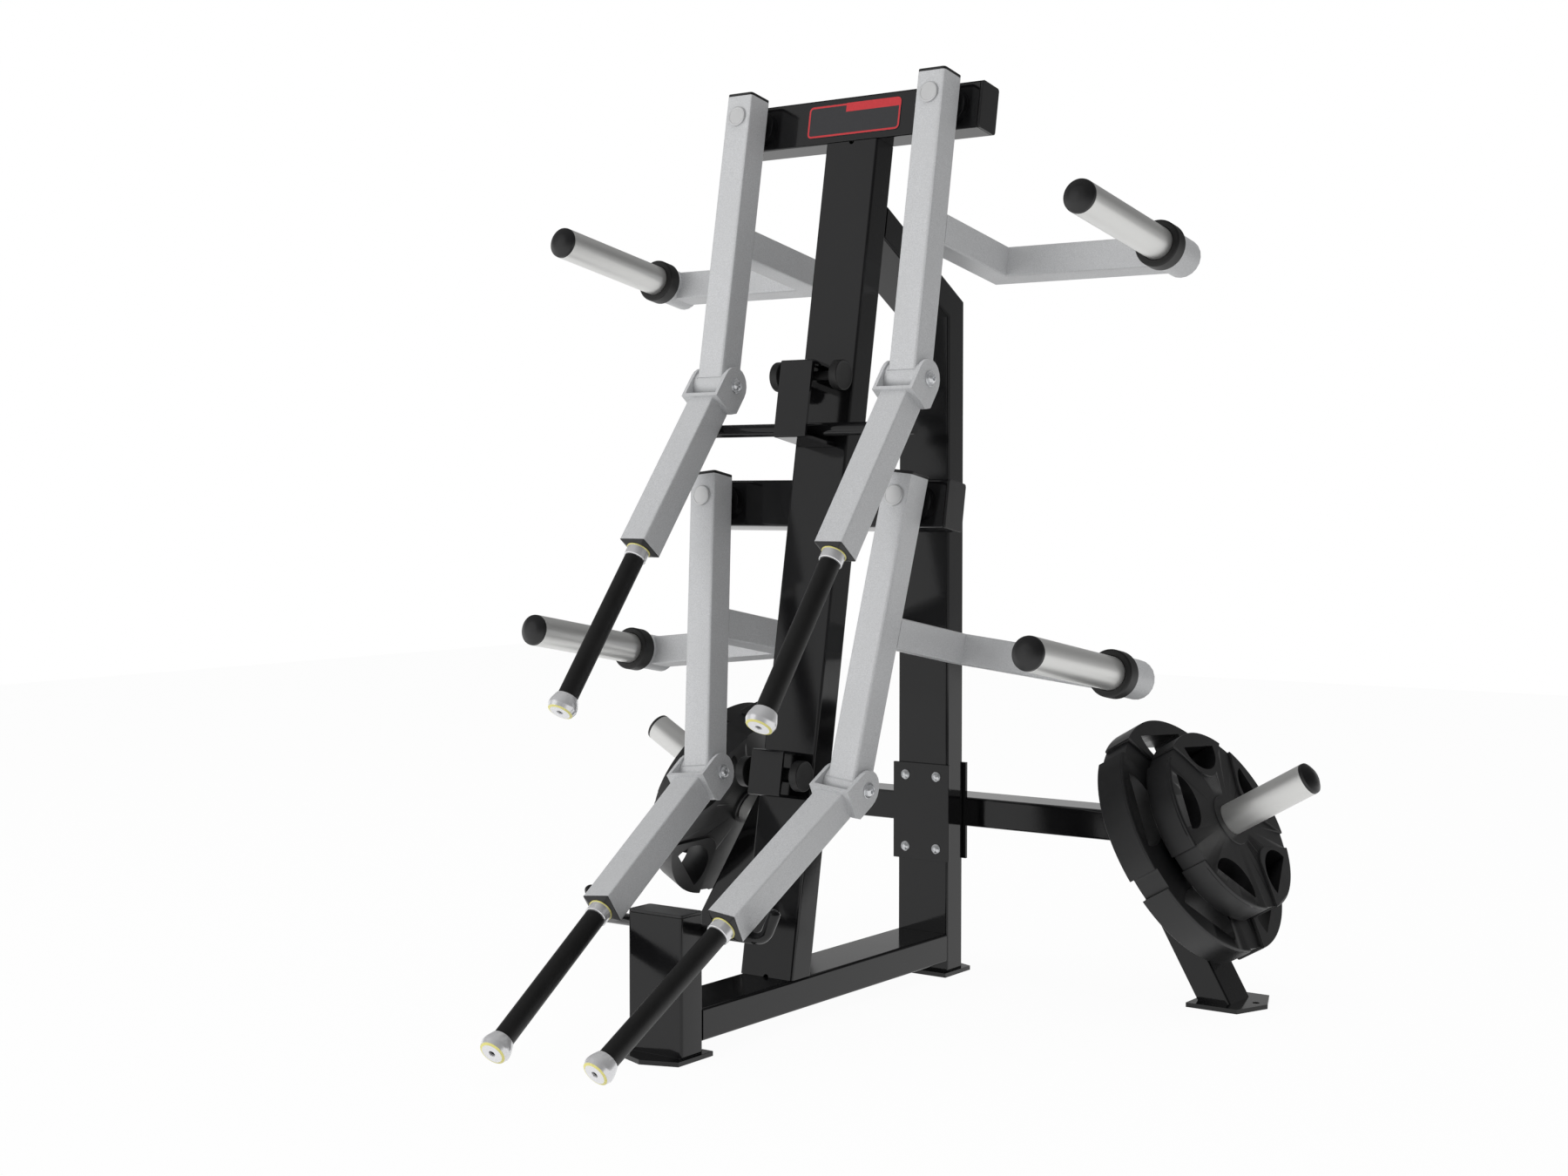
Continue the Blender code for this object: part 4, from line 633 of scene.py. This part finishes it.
plug_rise, plug_taper = 0.0051, 0.66
end, knob, face = -forearm_end, -knob_start, -knob_end
bpy.ops.mesh.primitive_cube_add(size=1, location=(0, 0, end + plug_rise / 2))
plug = bpy.context.object
plug.scale = (2 * tube_half, 2 * tube_half, plug_rise)
bpy.ops.object.transform_apply()
select_faces(plug, lambda centre, normal: normal.z < -0.9)
bpy.ops.transform.resize(value=(plug_taper, plug_taper, 1), center_override=(0, 0, end))
bpy.ops.object.mode_set(mode="OBJECT")
soften(plug, 0.0016, 3, 20)
bar = turned("handle", [(0.016, end + 0.002), (ferrule_radius - 0.0006, end + 0.0005),
                        (ferrule_radius, end - 0.0003), (ferrule_radius, -grip_start + 0.0012),
                        (ferrule_radius - 0.0012, -grip_start), (core_radius, -grip_start), (core_radius, knob),
                        (neck_radius, knob), (neck_radius + 0.0006, knob - 0.0006), (0.0224, knob - 0.007),
                        (0.0244, knob - 0.013), (knob_radius, knob - 0.0185), (0.0251, knob - 0.0208),
                        (0.0246, knob - 0.0217), (0.0222, face + 0.0019), (0.0178, face + 0.0018),
                        (0.0178, face), (0.0058, face), (0.0053, face + 0.0008), (0.0050, face + 0.0050),
                        (0.0010, face + 0.0050)], 64)
ferrule_ring = turned("ferrule_ring", [(0.0188, end + 0.0002), (0.0212, end + 0.0002), (0.0212, end - 0.0008),
                                       (0.0209, end - 0.0011), (0.0188, end - 0.0011), (0.0188, end + 0.0002)],
                      64, closed=True)
knob_ring = turned("knob_ring", [(0.0176, face + 0.0022), (0.0219, face + 0.0022), (0.0217, face + 0.0015),
                                 (0.0188, face + 0.0003), (0.0184, face + 0.0001), (0.0176, face + 0.0001),
                                 (0.0176, face + 0.0022)], 64, closed=True)
screw = turned("knob_screw", [(0.0051, face + 0.0045), (0.0047, face + 0.0030), (0.0024, face + 0.0028),
                              (0.0022, face + 0.0042), (0.0008, face + 0.0042)], 24)
for tag, level, side in tags:
    stand, body = forearm_frame[tag], f"{tag}_forearm"
    settle(copied(plug, f"{tag}_forearm_plug"), stand, body, moulded_abs)
    settle(copied(bar, f"{tag}_handle"), stand, body, anodised, (f"{tag}_handle_bar",))
    settle(copied(ferrule_ring, f"{tag}_ferrule_ring"), stand, body, yellow)
    settle(copied(knob_ring, f"{tag}_knob_ring"), stand, body, yellow)
    settle(copied(screw, f"{tag}_knob_screw"), stand, body, moulded_abs)
for model in (plug, bar, ferrule_ring, knob_ring, screw):
    bpy.data.objects.remove(model)


# Hand grips: black rubber sleeves pushed over the bars between ferrule and knob. They are smooth, with
# a rolled lip at either end.

grip_radius, grip_length, grip_gap = 0.0175, 0.284, 0.0004
top, bottom = -grip_start - grip_gap, -grip_start - grip_length + grip_gap
inside = core_radius + grip_gap
grip = turned("grip", [(inside, top), (grip_radius - 0.0012, top), (grip_radius - 0.0002, top - 0.0008),
                       (grip_radius, top - 0.002), (grip_radius, top - 0.09), (grip_radius, top - 0.19),
                       (grip_radius, bottom + 0.002), (grip_radius - 0.0002, bottom + 0.0008),
                       (grip_radius - 0.0012, bottom), (inside, bottom), (inside, top)], 64, closed=True)
for tag, level, side in tags:
    settle(copied(grip, f"{tag}_grip"), forearm_frame[tag], f"{tag}_forearm", moulded_rubber,
           (f"{tag}_hand_grip",))
bpy.data.objects.remove(grip)


# Storage horns: chromed tube like the sleeves, welded to the tops of the splayed legs by a flange,
# with a black domed cap on the end.

horn_length, horn_flange = 0.307, 0.0242
horn_out, horn_behind, horn_height, horn_tilt = 0.4554, 0.4754, 0.25672, 60
horn_frame = {name: seat((side * horn_out, horn_behind, horn_height), ("Y", side * horn_tilt))
              for name, side in sides}
horn = turned("horn", [(sleeve_bore, fit_gap), (collar_radius - 0.001, fit_gap), (collar_radius, fit_gap + 0.001),
                       (collar_radius, horn_flange - 0.002), (collar_radius - 0.002, horn_flange),
                       (sleeve_radius, horn_flange), (sleeve_radius, 0.15), (sleeve_radius, horn_length),
                       (sleeve_bore, horn_length)], 72)
horn_cap = turned("horn_cap", [(sleeve_bore, horn_length + 0.0001)]
                  + [(radius, horn_length + height) for radius, height in dome], 64)
for name, side in sides:
    settle(copied(horn, f"{name}_horn"), horn_frame[name], "frame", brushed_chrome,
           (f"{name}_storage_horn",))
    settle(copied(horn_cap, f"{name}_horn_cap"), horn_frame[name], "frame", moulded_abs)
for model in (horn, horn_cap):
    bpy.data.objects.remove(model)


# Weight plates: cast iron moulded into black rubber, one large and one small on each horn. Five
# D-shaped openings take the fingers. Each has a raised surround that runs out to the rim, three of them
# on the outer face and two on the inner, and the rim is notched between surrounds.

# Moulded crumb rubber on cast iron: IOR 1.52, satin, with a grain of about 2 mm and paler scuffs, 70 mm
# wide, where plates rub against each other.
plate_rubber, tree, shader = new_material("moulded_plate_rubber", IOR=1.52)
place = add_node(tree, "ShaderNodeTexCoord", {}).outputs["Object"]
crumb = add_node(tree, "ShaderNodeTexNoise", {"Vector": place, "Scale": 520.0, "Detail": 3.0})
scuff = add_node(tree, "ShaderNodeTexNoise", {"Vector": place, "Scale": 14.0, "Detail": 6.0, "Roughness": 0.65})
shade = add_node(tree, "ShaderNodeMix", {0: scuff.outputs["Fac"], 6: linear("#111112"), 7: linear("#1d1d1e")},
                 data_type="RGBA")
tree.links.new(shade.outputs[2], shader.inputs["Base Color"])
rough = add_node(tree, "ShaderNodeMapRange", {"Value": scuff.outputs["Fac"], "From Min": 0.35, "From Max": 0.65,
                                              "To Min": 0.34, "To Max": 0.46})
tree.links.new(rough.outputs["Result"], shader.inputs["Roughness"])
bump = add_node(tree, "ShaderNodeBump", {"Height": crumb.outputs["Fac"], "Strength": 0.05, "Distance": 0.0004})
tree.links.new(bump.outputs["Normal"], shader.inputs["Normal"])

plate_bore, plate_hub = 0.029, 0.048
surround_half, first_grip, outside_surrounds = 31, 4, 3
surround_inset, surround_chamfer, tool_past = 0.010, 0.0009, 0.02


def outlined(name, outline, low, high, chamfer=0.0):
    """A flat slab: a filled ring of points moved onto an outline and extruded, with its far edge chamfered."""
    bpy.ops.object.select_all(action="DESELECT")
    bpy.ops.mesh.primitive_circle_add(vertices=len(outline), fill_type="NGON")
    slab = bpy.context.object
    slab.name = name
    for vertex, point in zip(slab.data.vertices, outline):
        vertex.co = (point[0], point[1], low)
    up = math.copysign(1, high - low)
    bpy.ops.object.mode_set(mode="EDIT")
    bpy.ops.mesh.select_mode(type="FACE")
    bpy.ops.mesh.select_all(action="SELECT")
    bpy.ops.mesh.extrude_region_move(TRANSFORM_OT_translate={"value": (0, 0, high - low - up * chamfer)})
    if chamfer:
        bpy.ops.mesh.inset(thickness=chamfer)
        bpy.ops.transform.translate(value=(0, 0, up * chamfer))
    bpy.ops.mesh.select_all(action="SELECT")
    bpy.ops.mesh.normals_make_consistent(inside=False)
    bpy.ops.object.mode_set(mode="OBJECT")
    return slab


def make_plate(name, radius, thickness, hub_in, hub_out, proud, grip_half, grip_depth, grip_edge, end_distance,
               end_radius):
    """A plate about Z with its inner face at 0, openings counted from +X."""
    face, rim, edge = thickness - proud, radius - 0.0002, 0.003
    disc = turned(name, [(plate_bore, -hub_in), (plate_hub - 0.001, -hub_in), (plate_hub, -hub_in + 0.001),
                         (plate_hub, proud)]
                  + bend((rim - edge, proud + edge), edge, -90, 0) + bend((rim - edge, face - edge), edge, 0, 90)
                  + [(plate_hub, face), (plate_hub - 0.001, thickness + hub_out), (plate_bore + 0.001,
                     thickness + hub_out), (plate_bore, thickness + hub_out - 0.001), (plate_bore, -hub_in)],
                  120, closed=True)
    half = math.radians(surround_half)
    across, up = radius * math.sin(half), radius * math.cos(half) - end_distance
    tangent = math.degrees(math.atan2(up, across) - math.acos(end_radius / math.hypot(across, up)))
    outline = bend((0, 0), radius, 90 - surround_half, 90 + surround_half, 20)
    outline += [(x, y + end_distance) for x, y in bend((0, 0), end_radius, 180 - tangent, 360 + tangent, 28)]
    outside = outlined("outside_surround", outline, surround_inset, thickness, surround_chamfer)
    inside = outlined("inside_surround", outline, thickness - surround_inset, 0, surround_chamfer)
    for index in range(5):
        slab = copied(outside if index < outside_surrounds else inside, "surround")
        slab.data.transform(Matrix.Rotation(math.radians(first_grip + 72 * index - 90), 4, "Z"))
        cut_with(disc, slab, "UNION")
    gap = 36 - surround_half
    notch = outlined("notch", bend((0, 0), radius - proud, -gap, gap, 6)
                     + bend((0, 0), radius + tool_past, gap, -gap, 6), -tool_past, thickness + tool_past)
    opening = outlined("opening", [(x * grip_half, y * grip_depth) for x, y in bend((0, 0), 1, 180, 360, 30)],
                       -tool_past, thickness + tool_past)
    for index in range(5):
        slab = copied(notch, "rim_notch")
        slab.data.transform(Matrix.Rotation(math.radians(first_grip + 36 + 72 * index), 4, "Z"))
        cut_with(disc, slab, "DIFFERENCE")
        turn = math.radians(first_grip + 72 * index)
        slab = copied(opening, "finger_opening")
        slab.data.transform(Matrix.Translation((grip_edge * math.cos(turn), grip_edge * math.sin(turn), 0))
                            @ Matrix.Rotation(turn - math.pi / 2, 4, "Z"))
        cut_with(disc, slab, "DIFFERENCE")
    for model in (outside, inside, notch, opening):
        bpy.data.objects.remove(model)
    shade_smooth(disc)
    return disc


# Each plate's hub stands off its faces by hub_in and hub_out, and its surrounds are proud of its web.
big = dict(radius=0.2239, thickness=0.0615, hub_in=0.0, hub_out=0.002, proud=0.0055, grip_half=0.0705,
           grip_depth=0.060, grip_edge=0.194, end_distance=0.169, end_radius=0.060)
small = dict(radius=0.170, thickness=0.055, hub_in=0.0017, hub_out=-0.002, proud=0.0035, grip_half=0.0535,
             grip_depth=0.045, grip_edge=0.142, end_distance=0.128, end_radius=0.045)
big_height = horn_flange + fit_gap
small_height = big_height + big["thickness"] + big["hub_out"] + fit_gap + small["hub_in"]
for size, shape, height in (("big", big, big_height), ("small", small, small_height)):
    model = make_plate(f"{size}_plate_model", **shape)
    for name, side in sides:
        plate = copied(model, f"{name}_{size}_rubber_plate")
        # Openings are counted from the plate's top towards the rear, mirrored on the other horn.
        stand = horn_frame[name] @ Matrix.Translation((0, 0, height))
        if side > 0:
            stand = stand @ Matrix.Diagonal((-1, 1, 1, 1))
        plate.data.transform(stand)
        if side > 0:
            plate.data.flip_normals()
        settle(plate, Matrix.Identity(4), f"{name}_{size}_plate", plate_rubber,
               (f"{name}_{size}_plate",))
    bpy.data.objects.remove(model)


# Studio: a plain white floor under a white surround. The camera sees white, and gloss mirrors a surround
# that dims upwards and to the right, with a bright window ahead and to the left. The light on the object
# is soft, from a large panel ahead and to the left and a weak one above.

floor_size, floor_glow, soft_light, aim_height = 14, 0.96, 0.55, 0.8
# The camera is placed as the photograph's was: it dips by degrees and turns by radians.
camera_place, camera_dip, camera_turn, camera_lens = (2.201, -3.1069, 0.8956), 2.354, 0.6274, 50.32

floor_paint, tree, shader = new_material("studio_floor", Base_Color=linear("#f4f4f4"), Roughness=0.9)
path = add_node(tree, "ShaderNodeLightPath", {})
glow = add_node(tree, "ShaderNodeEmission", {"Color": (1, 1, 1, 1), "Strength": 1.0})
seen = add_node(tree, "ShaderNodeMath", {0: path.outputs["Is Camera Ray"], 1: path.outputs["Is Glossy Ray"]},
                operation="MAXIMUM")
through = add_node(tree, "ShaderNodeMath", {0: seen.outputs[0], 1: path.outputs["Is Transmission Ray"]},
                   operation="MAXIMUM")
share = add_node(tree, "ShaderNodeMath", {0: through.outputs[0], 1: floor_glow}, operation="MULTIPLY")
blend = add_node(tree, "ShaderNodeMixShader", {0: share.outputs[0], 1: shader.outputs[0], 2: glow.outputs[0]})
tree.links.new(blend.outputs[0], tree.nodes["Material Output"].inputs["Surface"])
bpy.ops.mesh.primitive_plane_add(size=floor_size, location=(0, 0, -0.0005))
floor = bpy.context.object
floor.name = "studio_floor"
bpy.ops.object.transform_apply()
floor.data.materials.append(floor_paint)

scene = bpy.context.scene
scene.world = bpy.data.worlds.new("white_surround")
scene.world.use_nodes = True
tree = scene.world.node_tree
path = add_node(tree, "ShaderNodeLightPath", {})
heading = add_node(tree, "ShaderNodeTexCoord", {}).outputs["Generated"]
ray = add_node(tree, "ShaderNodeSeparateXYZ", {0: heading})
ceiling = add_node(tree, "ShaderNodeMapRange", {"Value": ray.outputs["Z"], "From Min": 0.0, "From Max": 0.28,
                                                "To Min": 1.0, "To Max": 0.2})
right = add_node(tree, "ShaderNodeMapRange", {"Value": ray.outputs["X"], "From Min": -0.1, "From Max": 0.6,
                                              "To Min": 1.0, "To Max": 0.35})
shaded = add_node(tree, "ShaderNodeMath", {0: ceiling.outputs["Result"], 1: right.outputs["Result"]},
                  operation="MULTIPLY")
toward = add_node(tree, "ShaderNodeVectorMath", {0: heading, 1: (-0.6, -0.76, 0.25)}, operation="DOT_PRODUCT")
window = add_node(tree, "ShaderNodeMapRange", {"Value": toward.outputs["Value"], "From Min": 0.84, "From Max": 0.97,
                                               "To Min": 0.0, "To Max": 0.85})
mirrored = add_node(tree, "ShaderNodeMath", {0: shaded.outputs[0], 1: window.outputs["Result"]},
                    operation="MAXIMUM")
light = add_node(tree, "ShaderNodeMix", {0: path.outputs["Is Glossy Ray"], 2: soft_light, 3: mirrored.outputs[0]})
direct = add_node(tree, "ShaderNodeMath", {0: path.outputs["Is Camera Ray"], 1: path.outputs["Is Transmission Ray"]},
                  operation="MAXIMUM")
level = add_node(tree, "ShaderNodeMix", {0: direct.outputs[0], 2: light.outputs[0], 3: 1.0})
tree.links.new(level.outputs[0], tree.nodes["Background"].inputs["Strength"])
tree.nodes["Background"].inputs["Color"].default_value = (1, 1, 1, 1)

for name, spot, size, power in (("front_panel", (-2.6, -4.4, 1.5), 3.6, 117),
                                ("top_panel", (0.3, 0.0, 4.2), 3.0, 40)):
    lamp = bpy.data.lights.new(name, "AREA")
    lamp.size = size
    lamp.energy = power
    panel = bpy.data.objects.new(name, lamp)
    panel.location = spot
    panel.rotation_euler = (Vector((0, 0, aim_height)) - Vector(spot)).to_track_quat("-Z", "Y").to_euler()
    panel.visible_glossy = False
    scene.collection.objects.link(panel)

lens = bpy.data.cameras.new("camera")
lens.lens = camera_lens
camera = bpy.data.objects.new("camera", lens)
camera.location = camera_place
camera.rotation_euler = (math.radians(90 - camera_dip), 0, camera_turn)
scene.collection.objects.link(camera)
scene.camera = camera
scene.view_settings.view_transform = "Standard"

bpy.context.view_layer.update()
